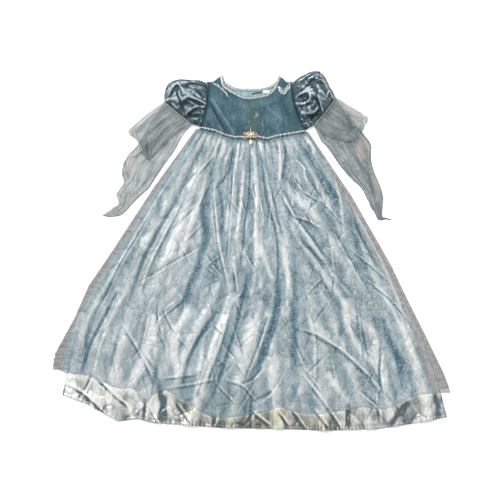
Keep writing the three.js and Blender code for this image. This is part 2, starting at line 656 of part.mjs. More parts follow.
function starGeometry() {
  const arms = Array.from({ length: 16 }, (_, index) => {
    const angle = (index / 16) * 2 * Math.PI;
    const lengths = { 0: brooch.armSide, 4: brooch.armNorth, 8: brooch.armSide, 12: brooch.armSouth };
    const reach = index % 2 === 1 ? brooch.notch : lengths[index] ?? brooch.armDiagonal;
    return { angle, reach };
  });
  const ring = (reachOf, z) => arms.map((arm) => new THREE.Vector3(
    brooch.x + reachOf(arm) * Math.cos(arm.angle), brooch.y + reachOf(arm) * Math.sin(arm.angle), z));
  const rimLow = ring((arm) => arm.reach, broochLevel);
  const rimHigh = ring((arm) => arm.reach, broochLevel + broochRim);
  const hub = ring(() => brooch.hub, broochLevel + broochHub);
  const low = new THREE.Vector3(brooch.x, brooch.y, broochLevel);
  const high = low.clone().setZ(broochLevel + broochHub);
  const triangles = [];
  for (let index = 0; index < 16; index += 1) {
    const next = (index + 1) % 16;
    triangles.push([low, rimLow[next], rimLow[index]]);
    addQuad(triangles, rimLow[index], rimLow[next], rimHigh[next], rimHigh[index]);
    addQuad(triangles, rimHigh[index], rimHigh[next], hub[next], hub[index]);
    triangles.push([hub[index], hub[next], high]);
  }
  return closedGeometry(triangles);
}

function gemGeometry() {
  const profile = [[0, 0], [gemRadius, 0], [gemRadius, 0.8], [gemRadius * 0.7, 2.4], [0, 3.2]];
  const gem = new THREE.LatheGeometry(profile.map(([radius, height]) => new THREE.Vector2(radius, height)), 12);
  return gem.rotateX(Math.PI / 2).translate(brooch.x, brooch.y, broochLevel + broochHub + seatGap);
}

// Assembly

addCloth("overskirt_back", overskirtBackGrid(), backWall, organza);
addCloth("underskirt_back", underskirtBackGrid(), satinWall, satin);
const underskirtFront = underskirtFrontGrid();
addCloth("underskirt_front", underskirtFront, satinWall, satin);
addCloth("overskirt_front", overskirtFrontGrid(underskirtFront), organzaWall, organza);

addCloth("bodice_back", bodiceGrid(backTop, 4, () => 0), velvetWall, velvet);
addCloth("bodice_front", bodiceGrid(frontTop, 8, bodiceFrontHeight), velvetWall, velvet);

const backNeck = backTop.slice(backNeckFrom, backNeckTo + 1);
const backNeckInner = besideEdge(backNeck, -bindingWidth);
addCloth("neck_binding_back", stripGrid(backNeck, backNeckInner, neckLevel), bindingWall, paleSatin);
const facingTop = besideEdge(backNeck, -bindingWidth - seamGap).slice(1, -1);
const facingBottom = facingTop.map((point) => ({ x: point.x, y: facingDepth }));
addCloth("neck_facing", stripGrid(facingTop, facingBottom, neckLevel), facingWall, paleSatin);
const onFacing = neckLevel + bindingWall + seatGap;
const frontNeck = frontTop.slice(frontNeckFrom, frontNeckTo + 1);
const frontBindingEdges = [seamGap, seamGap + bindingWidth].map((distance) => besideEdge(frontNeck, distance));
const frontBinding = stripGrid(...frontBindingEdges, onFacing + facingWall + seatGap);
addCloth("neck_binding_front", frontBinding, bindingWall, paleSatin);

const labelEdges = [labelCorners.top, labelCorners.bottom].map((y) => (
  [labelCorners.left, labelCorners.right].map((x) => ({ x, y }))));
addCloth("neck_label", stripGrid(labelEdges[0], labelEdges[1], onFacing), facingWall, satin);
const tapeEdges = [tapeWidth / 2, -tapeWidth / 2].map((offset) => besideEdge(tapeRoute, offset));
addCloth("back_neck_tape", stripGrid(tapeEdges[0], tapeEdges[1], onFacing), facingWall, darkTape);
addCloth("shoulder_ribbon_left", ribbonGrid(leftRibbonRoute, leftRibbonLift), ribbonWall, paleSatin);
addCloth("shoulder_ribbon_right", ribbonGrid(rightRibbonRoute, rightRibbonLift), ribbonWall, paleSatin);

addSleeve("left", leftPuff, leftDrapeLower, leftDrapeUpper);
addSleeve("right", rightPuff, rightDrapeLower, rightDrapeUpper);

const waistTop = underskirtFrontLevel + satinWall + layerGap + organzaWall;
const braidLevel = waistTop + seatGap + braidRadius;
const braidRoute = Array.from({ length: 25 }, (_, index) => {
  const point = skirtPlan(index / 24, 0);
  return point.set(point.x, point.y + seamGap / 2, braidLevel);
});
addPiece("waist_braid", cordGeometry(braidRoute, braidRadius, cordSides, braidSteps), silverBraid);

const broochLevel = braidLevel + braidRadius + seatGap;
addPiece("brooch_star", starGeometry(), roseGold);
addPiece("brooch_gem", gemGeometry(), paleGem);
const drop = new THREE.SphereGeometry(1, 12, 8).scale(dropHalf.x, dropHalf.y, dropHalf.z);
addPiece("brooch_drop", drop.translate(brooch.x, dropCentreY, broochLevel + dropHalf.z), paleGem);

// The origin is the middle of the dress on the table
const bounds = new THREE.Box3().setFromObject(dress);
const middle = bounds.getCenter(new THREE.Vector3());
dress.position.set(-middle.x, -middle.y, 0);

export default dress;
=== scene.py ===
"""A child's princess costume dress, laid flat with its front up: cloth, trims, light and camera.

Sizes are millimetres in the pattern's own frame: x across the dress, y from the hem to the neck, z up from the
table. A mesh is moved by CENTRE and brought to metres when it is made. Left and right are those of the picture.
"""
import logging
import math
from dataclasses import dataclass, field
from enum import Enum
from typing import Any, Sequence

import bpy
import numpy as np
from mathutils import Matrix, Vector


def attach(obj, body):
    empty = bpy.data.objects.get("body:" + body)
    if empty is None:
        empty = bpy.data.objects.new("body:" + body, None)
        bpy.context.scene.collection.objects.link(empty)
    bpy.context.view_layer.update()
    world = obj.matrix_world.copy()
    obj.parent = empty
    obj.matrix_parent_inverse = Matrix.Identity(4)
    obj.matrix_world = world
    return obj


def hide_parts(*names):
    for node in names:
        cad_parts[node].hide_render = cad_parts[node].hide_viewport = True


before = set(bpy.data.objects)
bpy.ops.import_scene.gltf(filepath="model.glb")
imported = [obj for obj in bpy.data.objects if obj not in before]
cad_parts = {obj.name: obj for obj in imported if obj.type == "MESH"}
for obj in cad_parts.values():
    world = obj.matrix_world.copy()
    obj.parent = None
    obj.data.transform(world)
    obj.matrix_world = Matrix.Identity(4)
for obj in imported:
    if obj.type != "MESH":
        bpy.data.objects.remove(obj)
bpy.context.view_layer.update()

CENTRE = np.array((-0.2163, -32.3479, 0.0))
METRE = 0.001
ROOT = "root"

# Gap at a seam, and the skirt's length and its widths at the waist and the hem, in mm
SEAM = 0.8
SKIRT_LENGTH = 690.0
WAIST_WIDTH = 277.0
HEM_WIDTH = 881.0

log = logging.getLogger("dress")

Field = np.ndarray
Route = Sequence[tuple[float, float]]
Colour = tuple[float, float, float]
Piece = bpy.types.Object
Finish = bpy.types.Material


# Numbers

def lerp(start: Any, end: Any, share: Any) -> Any:
    """Goes in a straight line from start to end as share goes from 0 to 1."""
    return start + (end - start) * share


def smooth(share: Any) -> Any:
    """Eases a share from 0 to 1, level at both ends and cut off outside them."""
    held = np.clip(share, 0.0, 1.0)
    return held * held * (3 - 2 * held)


def bell(distance: Any) -> Any:
    """Squared cosine: 1 at distance 0, and 0 from distance 1 on."""
    return np.cos(np.clip(np.abs(distance), 0.0, 1.0) * math.pi / 2) ** 2


def hermite(knots: Field, heights: Field, places: Field) -> Field:
    """Smooth curve through the heights at the knots: cubics with the slope between each knot's neighbours.

    Args:
        knots: rising places of the rows.
        heights: one value, or one row of values, for each knot.
        places: where the curve is read.

    Returns:
        The curve's value at each place.
    """
    slopes = np.gradient(heights, knots, axis=0)
    left = np.clip(np.searchsorted(knots, places, side="right") - 1, 0, len(knots) - 2)
    gap = knots[left + 1] - knots[left]
    step = np.clip((places - knots[left]) / gap, 0.0, 1.0)
    shape = (...,) + (None,) * (heights.ndim - 1)
    step, gap = step[shape], gap[shape]
    square, cube = step**2, step**3
    return (
        heights[left] * (2 * cube - 3 * square + 1)
        + slopes[left] * gap * (cube - 2 * square + step)
        + heights[left + 1] * (3 * square - 2 * cube)
        + slopes[left + 1] * gap * (cube - square)
    )


def curve_through(route: Any, count: int) -> Field:
    """Reads count points along the smooth curve through a route, evenly by the route's own knots."""
    knots = np.asarray(route, float)
    return hermite(np.arange(len(knots), dtype=float), knots, np.linspace(0, len(knots) - 1, count))


def grid(rows: int, columns: int) -> tuple[Field, Field]:
    """Shares down and across a grid, both from 0 to 1."""
    return np.meshgrid(np.linspace(0, 1, rows), np.linspace(0, 1, columns), indexing="ij")


def points_at(x: Field, y: Field, height: Field) -> Field:
    """Points from their places and their heights."""
    return np.stack((x, y, height), axis=-1)


def waves(x: Field, y: Field, length: float, seed: int, count: int = 10) -> Field:
    """Soft unevenness from -1 to 1: a mean of sine waves in seeded directions, each about length long.

    Args:
        x: places across, in mm.
        y: places along, in mm.
        length: mean distance between two crests, in mm.
        seed: seed of the directions.
        count: how many sine waves are added.

    Returns:
        The unevenness at each place.
    """
    draw = np.random.default_rng(seed)
    total = np.zeros(np.broadcast(x, y).shape)
    for _ in range(count):
        heading = draw.uniform(0, math.pi)
        pitch = 2 * math.pi / (length * draw.uniform(0.6, 1.5))
        phase = draw.uniform(0, 2 * math.pi)
        total += np.sin((x * math.cos(heading) + y * math.sin(heading)) * pitch + phase)
    return total / math.sqrt(count) / 1.6


def crumple(x: Field, y: Field, length: float, seed: int) -> Field:
    """Crushed cloth, about -1 to 1: sharp ridges where a soft wave, read at bent places, changes sign.

    Args:
        x: places across, in mm.
        y: places along, in mm.
        length: distance between two ridges, in mm.
        seed: seed of the waves.

    Returns:
        The crumple at each place.
    """
    bent_x = x + 0.3 * length * waves(x, y, length * 1.6, seed)
    bent_y = y + 0.3 * length * waves(x, y, length * 1.6, seed + 1)
    return 1 - 2.4 * np.abs(waves(bent_x, bent_y, length * 2, seed + 2, 5))


def hollow(height: Field, reach: int) -> Field:
    """How far each place lies below its surroundings: the mean of a square round it, less its own height.

    Args:
        height: heights on a grid.
        reach: half the square's side, in places.

    Returns:
        The depth at each place, positive in a hollow.
    """
    side = 2 * reach + 1
    total = np.pad(height, (reach + 1, reach), mode="edge").cumsum(axis=0).cumsum(axis=1)
    block = total[side:, side:] - total[:-side, side:] - total[side:, :-side] + total[:-side, :-side]
    return block / side**2 - height


class Table:
    """A short table with named columns, its first column rising, read between its rows."""

    def __init__(self, names: str, *rows: tuple[float, ...]) -> None:
        """Keeps each column as an array under its name."""
        self.columns = dict(zip(names.split(), np.array(rows, float).T))
        self.key = names.split()[0]

    def at(self, name: str, place: Any) -> Field:
        """Reads a column along straight lines between the rows."""
        return np.interp(place, self.columns[self.key], self.columns[name])

    def eased(self, name: str, place: Any) -> Field:
        """Reads a column along a smooth curve through the rows."""
        return hermite(self.columns[self.key], self.columns[name], np.asarray(place, float))


# Creases

class Profile(Enum):
    """Cross-section of a crease."""

    ROUND = "a soft trough or ridge"
    PINCH = "a sharp ridge with a slim trough on its right"
    STEP = "the edge of a folded layer, steep on its left and long on its right"


@dataclass(frozen=True)
class Crease:
    """One crease: height and half width in mm, tone (dark is positive), profile and route on the cloth."""

    lift: float
    half_width: float
    # tone is painted shade where positive and a painted highlight where negative
    tone: float
    profile: Profile
    route: Route


def creases(profile: Profile, *rows: tuple) -> list[Crease]:
    """Makes creases of one profile from rows of lift, half width, tone and then the route's places."""
    return [Crease(*row[:3], profile, row[3:]) for row in rows]


def skirt_creases(profile: Profile, *rows: tuple) -> list[Crease]:
    """Makes creases from rows whose routes are in thousandths across and down the skirt."""
    return [Crease(*row[:3], profile, np.array(row[3:]) / 1000) for row in rows]


def beside_route(x: Field, y: Field, route: Field) -> tuple[Field, Field]:
    """Distance of each place from a route and the share along it of the nearest point.

    The nearest point of each straight piece is found by projection, and the nearest piece wins.

    Args:
        x: places across, in mm.
        y: places along, in mm.
        route: points of the route, in mm.

    Returns:
        The distance, positive on the route's right, and the share along.
    """
    steps = np.diff(route, axis=0)
    lengths = np.hypot(steps[:, 0], steps[:, 1])
    starts = np.concatenate(([0.0], np.cumsum(lengths)))
    best = np.full(x.shape, np.inf)
    signed = np.zeros(x.shape)
    along = np.zeros(x.shape)
    for (start_x, start_y), (step_x, step_y), length, before in zip(route, steps, lengths, starts):
        away_x, away_y = x - start_x, y - start_y
        share = np.clip((away_x * step_x + away_y * step_y) / length**2, 0.0, 1.0)
        distance = np.hypot(away_x - share * step_x, away_y - share * step_y)
        closer = distance < best
        side = np.where(away_x * step_y - away_y * step_x >= 0, 1.0, -1.0)
        best = np.where(closer, distance, best)
        signed = np.where(closer, side * distance, signed)
        along = np.where(closer, (before + share * length) / starts[-1], along)
    return signed, along


def crease_shape(crease: Crease, signed: Field, along: Field) -> tuple[Field, Field]:
    """Lift and tone of one crease: its profile across, tapered at both ends and a little uneven between them.

    Args:
        crease: the crease.
        signed: distance from its route, positive on its right, in mm.
        along: share along its route.

    Returns:
        The lift in mm and the tone.
    """
    offset = signed / crease.half_width
    taper = np.sin(np.clip(along, 0.0, 1.0) * math.pi) ** 0.6
    uneven = 0.85 + 0.15 * np.sin(along * 11 + crease.half_width)
    if crease.profile is Profile.ROUND:
        across = bell(offset)
        # painted shade along a trough, or a painted highlight along a ridge where the crease's tone is negative
        tone = across
    elif crease.profile is Profile.PINCH:
        ridge = np.clip(1 - np.abs(offset), 0.0, 1.0) ** 1.5
        trough = bell((offset - 1.1) / 1.1)
        across = ridge - 0.5 * trough
        # painted highlight on the ridge and painted shade in the slim trough beside it
        tone = trough - 0.9 * ridge
    else:
        across = smooth(offset / 0.3 + 1) * (1 - smooth(offset))
        # painted shade at the foot of the layer's steep edge and a faint painted highlight on its top
        tone = bell((offset + 0.35) / 0.55) - 0.5 * bell((offset - 0.3) / 0.6)
    return crease.lift * across * taper * uneven, crease.tone * tone * taper * uneven


def crease_fields(x: Field, y: Field, rows: Sequence[Crease], place: Any = None) -> tuple[Field, Field]:
    """Adds up the lift and the tone of all creases at each place.

    Args:
        x: places across, in mm.
        y: places along, in mm.
        rows: the creases.
        place: turns a route's own places into mm on the table, or None where it has them already.

    Returns:
        The lift in mm and the tone.
    """
    lift = np.zeros(x.shape)
    tone = np.zeros(x.shape)
    for crease in rows:
        marks = np.asarray(crease.route, float)
        if place is not None:
            marks = np.stack(place(marks[:, 0], marks[:, 1]), axis=-1)
        route = curve_through(marks, 6 * len(marks))
        reach = crease.half_width * 2.3
        low, high = route.min(axis=0) - reach, route.max(axis=0) + reach
        near = (x > low[0]) & (x < high[0]) & (y > low[1]) & (y < high[1])
        if near.any():
            more_lift, more_tone = crease_shape(crease, *beside_route(x[near], y[near], route))
            lift[near] += more_lift
            tone[near] += more_tone
    return lift, tone


# Meshes

@dataclass
class Surface:
    """A grid of points in mm, the values its finish reads there, and its map's places if not even."""

    points: Field
    shades: dict[str, Field] = field(default_factory=dict)
    joined: bool = False
    shares: tuple[Field, Field] | None = None

    def corners(self) -> Field:
        """Point numbers of each face along the rows, the last column joined to the first if asked."""
        rows, columns = self.points.shape[:2]
        number = np.arange(rows * columns).reshape(rows, columns)
        if self.joined:
            number = np.concatenate((number, number[:, :1]), axis=1)
        faces = np.stack((number[:-1, :-1], number[1:, :-1], number[1:, 1:], number[:-1, 1:]), axis=-1)
        return faces.reshape(-1, 4)

    def facing(self) -> float:
        """Sign of the way the faces look: up for an open sheet, outward for a tube whose rings are joined."""
        places = self.points.reshape(-1, 3)
        a, b, c, d = (places[self.corners()[:, index]] for index in range(4))
        normals = np.cross(c - a, d - b)
        if not self.joined:
            return float(normals[:, 2].sum())
        middles = (a + b + c + d) / 4
        return float((normals * (middles - places.mean(axis=0))).sum())


def put_in_scene(name: str, data: Any) -> Piece:
    """Makes an object from a mesh, a lamp or a camera, and puts it in the scene."""
    piece = bpy.data.objects.new(name, data)
    bpy.context.collection.objects.link(piece)
    return piece


def add_mesh(name: str, points: Field, faces: Sequence, shades: dict[str, Field]) -> Piece:
    """Makes a smooth object at the origin from points in mm.

    Args:
        name: the piece's name.
        points: one row for each point.
        faces: the point numbers of each face.
        shades: values at the points, by name.

    Returns:
        The new object, in the scene.
    """
    mesh = bpy.data.meshes.new(name)
    mesh.from_pydata(((points + CENTRE) * METRE).tolist(), [], faces)
    for key, values in shades.items():
        mesh.attributes.new(key, "FLOAT", "POINT").data.foreach_set("value", values.astype(np.float32).ravel())
    mesh.shade_smooth()
    mesh.update()
    return put_in_scene(name, mesh)


def add_surface(name: str, surface: Surface) -> Piece:
    """Makes an object from a surface, its faces up or outward, with a UV map of shares across and down."""
    rows, columns = surface.points.shape[:2]
    faces = surface.corners()
    if surface.facing() < 0:
        faces = faces[:, ::-1]
    piece = add_mesh(name, surface.points.reshape(-1, 3), faces.tolist(), surface.shades)
    places = surface.shares or grid(rows, columns)[::-1]
    shares = np.stack(places, axis=-1).reshape(-1, 2)[faces.ravel()]
    piece.data.uv_layers.new(name="UVMap").data.foreach_set("uv", shares.astype(np.float32).ravel())
    return piece


def give_wall(piece: Piece, wall: float) -> None:
    """Gives a surface a wall in mm below or inside it, closed round its rim."""
    modifier = piece.modifiers.new("wall", "SOLIDIFY")
    modifier.thickness = wall * METRE
    modifier.offset = -1
    modifier.use_even_offset = False


def tube(route: Field, radius: Any, sides: int, round_ends: int = 4) -> Surface:
    """Round tube along a route, its ends drawn in to points like a quarter circle.

    Each ring lies across the route's direction: its sideways axis is level, its other axis is square to both.

    Args:
        route: points along the middle, in mm.
        radius: one radius, or one for each point.
        sides: points in a ring.
        round_ends: rings that round off each end.

    Returns:
        The tube as a surface with joined columns.
    """
    ahead = np.gradient(route, axis=0)
    ahead /= np.linalg.norm(ahead, axis=1, keepdims=True)
    level = np.cross(ahead, (0.0, 0.0, 1.0))
    level /= np.linalg.norm(level, axis=1, keepdims=True) + 1e-9
    other = np.cross(level, ahead)
    size = np.broadcast_to(np.asarray(radius, float), (len(route),))
    swell = np.sin(np.linspace(0, 1, round_ends + 1)[:-1] * math.pi / 2)
    back = np.cos(np.linspace(0, 1, round_ends + 1)[:-1] * math.pi / 2)
    before = route[0] - ahead[0] * (back * size[0])[:, None]
    after = route[-1] + ahead[-1] * (back[::-1] * size[-1])[:, None]
    centres = np.concatenate((before, route, after))
    sizes = np.concatenate((swell * size[0], size, swell[::-1] * size[-1]))
    last = len(route) - 1
    order = np.concatenate((np.zeros(round_ends, int), np.arange(last + 1), np.full(round_ends, last)))
    turn = np.linspace(0, 2 * math.pi, sides, endpoint=False)
    ring = level[order][:, None] * np.cos(turn)[:, None] + other[order][:, None] * np.sin(turn)[:, None]
    return Surface(centres[:, None] + ring * sizes[:, None, None], joined=True)


# Shaders

class Signal:
    """A shader socket that takes arithmetic: each operation adds one Math node."""

    def __init__(self, kit: "ShaderKit", socket: bpy.types.NodeSocket) -> None:
        self.kit = kit
        self.socket = socket

    def _math(self, operation: str, first: Any, second: Any = 0.0) -> "Signal":
        """Adds one Math node."""
        return self.kit.node("ShaderNodeMath", {"operation": operation}, {0: first, 1: second})

    def __add__(self, other: Any) -> "Signal":
        """Sum."""
        return self._math("ADD", self, other)

    def __sub__(self, other: Any) -> "Signal":
        """Difference."""
        return self._math("SUBTRACT", self, other)

    def __rsub__(self, other: Any) -> "Signal":
        """Difference from a number."""
        return self._math("SUBTRACT", other, self)

    def __mul__(self, other: Any) -> "Signal":
        """Product."""
        return self._math("MULTIPLY", self, other)

    def above(self, level: float) -> "Signal":
        """1 where the signal is above a level, and 0 elsewhere."""
        return self._math("GREATER_THAN", self, level)

    def least(self, other: Any) -> "Signal":
        """The smaller of two."""
        return self._math("MINIMUM", self, other)

    def most(self, other: Any) -> "Signal":
        """The larger of two."""
        return self._math("MAXIMUM", self, other)

    def between(self, low: float, high: float) -> "Signal":
        """Eases from 0 at low to 1 at high."""
        inputs = {"Value": self, "From Min": low, "From Max": high}
        return self.kit.node("ShaderNodeMapRange", {"interpolation_type": "SMOOTHSTEP"}, inputs)

    __radd__ = __add__
    __rmul__ = __mul__


class ShaderKit:
    """One material with a Principled shader, and the few ways in which its nodes are added."""

    def __init__(self, name: str, **constants: Any) -> None:
        """Makes the material, and sets the shader's sockets that are the same all over."""
        self.material = bpy.data.materials.new(name)
        self.material.use_nodes = True
        self.tree = self.material.node_tree
        self.shader = self.tree.nodes["Principled BSDF"]
        for socket, value in constants.items():
            self.shader.inputs[socket.replace("_", " ").title().replace("Ior", "IOR")].default_value = value

    def node(self, kind: str, settings: dict[str, Any], inputs: dict[Any, Any], output: Any = 0) -> Signal:
        """Adds one node.

        Args:
            kind: the node's type.
            settings: the node's own properties, and "stops" for a ramp's places and colours.
            inputs: values or signals by socket name or number.
            output: name or number of the socket that is returned.

        Returns:
            The output socket as a signal.
        """
        node = self.tree.nodes.new(kind)
        for key, value in settings.items():
            if key == "stops":
                self._set_stops(node.color_ramp, value)
            else:
                setattr(node, key, value)
        for key, value in inputs.items():
            self._feed(node.inputs[key], value)
        return Signal(self, node.outputs[output])

    def _set_stops(self, ramp: bpy.types.ColorRamp, stops: Sequence[tuple[float, Colour]]) -> None:
        """Gives a ramp its places and colours."""
        while len(ramp.elements) < len(stops):
            ramp.elements.new(0.5)
        for element, (place, colour) in zip(ramp.elements, stops):
            element.position = place
            element.color = (*colour, 1.0)

    def _feed(self, socket: bpy.types.NodeSocket, value: Any) -> None:
        """Links a signal to a socket, or sets its value."""
        if isinstance(value, Signal):
            self.tree.links.new(value.socket, socket)
        elif isinstance(value, tuple) and len(value) == 3 and socket.type == "RGBA":
            socket.default_value = (*value, 1.0)
        else:
            socket.default_value = value

    def feed(self, **values: Any) -> None:
        """Feeds the shader's sockets that vary over the surface."""
        for socket, value in values.items():
            self._feed(self.shader.inputs[socket.replace("_", " ").title()], value)

    def place(self, stretch: tuple[float, float, float] = (1.0, 1.0, 1.0), turn: float = 0.0) -> Signal:
        """Object coordinates in metres, stretched along each axis and turned about z."""
        return self._mapped(self.node("ShaderNodeTexCoord", {}, {}, "Object"), stretch, turn)

    def map(self, stretch: tuple[float, float, float], turn: float = 0.0) -> Signal:
        """The piece's own UV map, stretched and turned."""
        return self._mapped(self.node("ShaderNodeUVMap", {"uv_map": "UVMap"}, {}), stretch, turn)

    def _mapped(self, where: Signal, stretch: tuple[float, float, float], turn: float) -> Signal:
        """Places stretched along each axis and turned about z."""
        inputs = {"Vector": where, "Rotation": (0.0, 0.0, turn), "Scale": stretch}
        return self.node("ShaderNodeMapping", {}, inputs)

    def shade(self, name: str) -> Signal:
        """One of the piece's own values."""
        return self.node("ShaderNodeAttribute", {"attribute_name": name}, {}, "Fac")

    def noise(self, where: Signal, scale: float, detail: float = 3.0, twist: float = 0.0) -> Signal:
        """Cloudy noise from 0 to 1."""
        inputs = {"Vector": where, "Scale": scale, "Detail": detail, "Distortion": twist}
        return self.node("ShaderNodeTexNoise", {}, inputs)

    def cells(self, where: Signal, scale: float, output: str = "Distance", feature: str = "F1") -> Signal:
        """Random cells: distance to the nearest middle or edge, or the cell's own colour."""
        inputs = {"Vector": where, "Scale": scale}
        return self.node("ShaderNodeTexVoronoi", {"feature": feature}, inputs, output)

    def grey(self, colour: Signal) -> Signal:
        """The first part of a colour as a value."""
        return self.node("ShaderNodeSeparateColor", {}, {0: colour})

    def facets(self, across: float, down: float, turn: float) -> tuple[Signal, Signal]:
        """Pressed creases: straight-edged facets that follow the piece's own map.

        Args:
            across: facets over the piece's width.
            down: facets over the piece's length.
            turn: how far they lean, in radians.

        Returns:
            Each facet's own random value, and a line signal that is 1 inside a facet and 0 along its edges.
        """
        bend = self.node("ShaderNodeTexNoise", {}, {"Vector": self.place(), "Scale": 14.0}, "Color")
        places = {0: self.map((across, down, 1.0), turn), 1: bend}
        bent = self.node("ShaderNodeVectorMath", {"operation": "ADD"}, places)
        value = self.grey(self.cells(bent, 1.0, "Color"))
        return value, self.cells(bent, 1.0, "Distance", "DISTANCE_TO_EDGE").between(0.0, 0.09)

    def mix(self, first: Any, second: Any, share: Any, blend: str = "MIX") -> Signal:
        """Mixes two colours."""
        settings = {"data_type": "RGBA", "blend_type": blend}
        return self.node("ShaderNodeMix", settings, {0: share, 6: first, 7: second}, 2)

    def tones(self, tone: Signal, finish: Any, middle: float) -> Signal:
        """A finish's colours from light at tone 0 to deep at tone 1, its middle colour between them."""
        stops = (0.0, tint(finish.light)), (middle, tint(finish.middle)), (1.0, tint(finish.deep))
        return self.node("ShaderNodeValToRGB", {"stops": stops}, {0: tone})

    def bump(self, height: Signal, strength: float, distance: float) -> None:
        """Feeds the shader's normal from a height, with the distance in metres."""
        inputs = {"Strength": strength, "Distance": distance, "Height": height}
        self.feed(normal=self.node("ShaderNodeBump", {}, inputs, "Normal"))


# Pressed facets of the skirt's cloth, with painted shading: how many across and down it, and how far they lean
LARGE_PRESSES = (26.0, 10.0, 0.25)
SMALL_PRESSES = (44.0, 22.0, -0.3)


def tint(code: str) -> Colour:
    """Linear colour of a six-digit sRGB code."""
    parts = [int(code[index:index + 2], 16) / 255 for index in (0, 2, 4)]
    return tuple(part / 12.92 if part <= 0.04045 else ((part + 0.055) / 1.055) ** 2.4 for part in parts)


@dataclass(frozen=True)
class GlitterOrganza:
    """Sheer glitter organza of the skirt: icy grey, blue in its folds, warm where nothing lies under it."""

    name: str = "glitter_organza"
    light: str = "d9dbdc"
    middle: str = "99b0ba"
    deep: str = "3d6475"
    green: str = "cfe0d6"
    warm: str = "736e6c"
    pale_warm: str = "b0a7a2"
    dark_grain: str = "3c5462"
    bright_grain: Colour = (0.95, 0.97, 1.0)
    hem: str = "7f898a"
    cover: float = 0.58
    grain_pitch: float = 2.3

    def material(self) -> Finish:
        """Colour from painted shade of folds and pressed facets, clouds, and a dense grain of bright and dark
        glitter.
        """
        kit = ShaderKit(self.name, roughness=0.45, sheen_weight=0.15, sheen_roughness=0.4)
        where = kit.place()
        cloud = kit.noise(kit.map((22.0, 8.0, 1.0)), 1.0, 5.0, 0.7) - 0.5
        fine = kit.noise(where, 360.0, 2.0) - 0.5
        grain = kit.grey(kit.cells(where, 1 / (self.grain_pitch * METRE), "Color"))
        facet, crack = kit.facets(*LARGE_PRESSES)
        small, fine_crack = kit.facets(*SMALL_PRESSES)
        # painted facet shading: each facet lighter or darker as if slanted to the light, and darker along its
        # creases
        crush = (facet - 0.5) * 0.2 + (small - 0.5) * 0.16 + (1.0 - crack) * 0.16 + (1.0 - fine_crack) * 0.12
        # the folds' tone: partly the organza's stacked layers, partly painted shade and highlights
        folds = kit.shade("tone") * 0.42
        glitter = kit.shade("glitter")
        tone = folds + 0.42 + cloud * 0.25 + fine * 0.8 + (grain - 0.5) * (glitter * 0.45 + 0.2) + crush
        colour = kit.tones(tone, self, 0.42)
        hue = kit.noise(kit.map((5.0, 1.5, 1.0)), 1.0, 2.0).between(0.5, 0.68)
        colour = kit.mix(colour, tint(self.green), hue * 0.55, "MULTIPLY")
        bare = kit.shade("bare")
        plain_tone = (fine + grain - 0.1).between(-0.3, 1.0)
        plain = kit.mix(tint(self.pale_warm), tint(self.warm), plain_tone)
        colour = kit.mix(colour, plain, kit.shade("warm"))
        colour = kit.mix(colour, self.bright_grain, grain.above(0.92) * (glitter * 0.35 + 0.12))
        colour = kit.mix(colour, tint(self.dark_grain), (0.1 - grain).above(0.0) * (glitter * 0.4 + 0.15))
        edge = kit.shade("edge")
        colour = kit.mix(colour, tint(self.hem), edge * 0.6)
        cover = folds.most(-0.5) * 0.4 + self.cover + tone.least(1.0) * 0.1 + bare * 0.02 + edge * 0.25
        kit.feed(base_color=colour, alpha=cover.least(0.97), roughness=0.5 - grain.above(0.9) * 0.25)
        presses = crack * 1.3 + facet * 1.2 + fine_crack * 0.8 + small * 0.7
        kit.bump(presses + cloud * 2.0 + fine * 0.8, 0.5, 0.0015)
        return kit.material


@dataclass(frozen=True)
class DrapeOrganza:
    """Sheer grey-green organza of the sleeve drapes, with streaks that fan out from the cuff."""

    name: str = "drape_organza"
    light: str = "b3b8b5"
    middle: str = "838f8f"
    deep: str = "506165"
    warm: str = "a18a7c"
    rim: str = "595856"
    cover: float = 0.7

    def material(self) -> Finish:
        """Colour from streaks along the piece's own map, warm patches where it is single, and a darker edge."""
        kit = ShaderKit(self.name, roughness=0.55, sheen_weight=0.35, sheen_roughness=0.4)
        streak = kit.noise(kit.map((26.0, 2.2, 1.0)), 1.0, 4.0, 0.6) - 0.5
        fine = kit.noise(kit.map((60.0, 14.0, 1.0), 0.8), 1.0, 3.0, 0.5) - 0.5
        cloud = kit.noise(kit.place(), 26.0, 4.0, 0.7) - 0.5
        grain = kit.noise(kit.place(), 330.0, 1.0) - 0.5
        # the piece's tone is painted shade and highlights over its ripples, pleats and creases
        tone = kit.shade("tone") * 0.6 + 0.6 + streak * 0.9 + fine * 0.9 + cloud * 0.9 + grain * 1.3
        colour = kit.tones(tone, self, 0.5)
        warm = kit.shade("warm")
        colour = kit.mix(colour, tint(self.warm), warm * 0.65)
        edge = kit.shade("edge")
        colour = kit.mix(colour, tint(self.rim), edge * 0.9)
        cover = tone * 0.25 + (self.cover - 0.1) - warm * 0.05 + edge * 0.3
        kit.feed(base_color=colour, alpha=cover.least(0.96))
        weave = kit.noise(kit.place(), 800.0, 2.0)
        kit.bump(weave * 0.4 + streak * 1.5 + fine, 0.4, 0.001)
        return kit.material


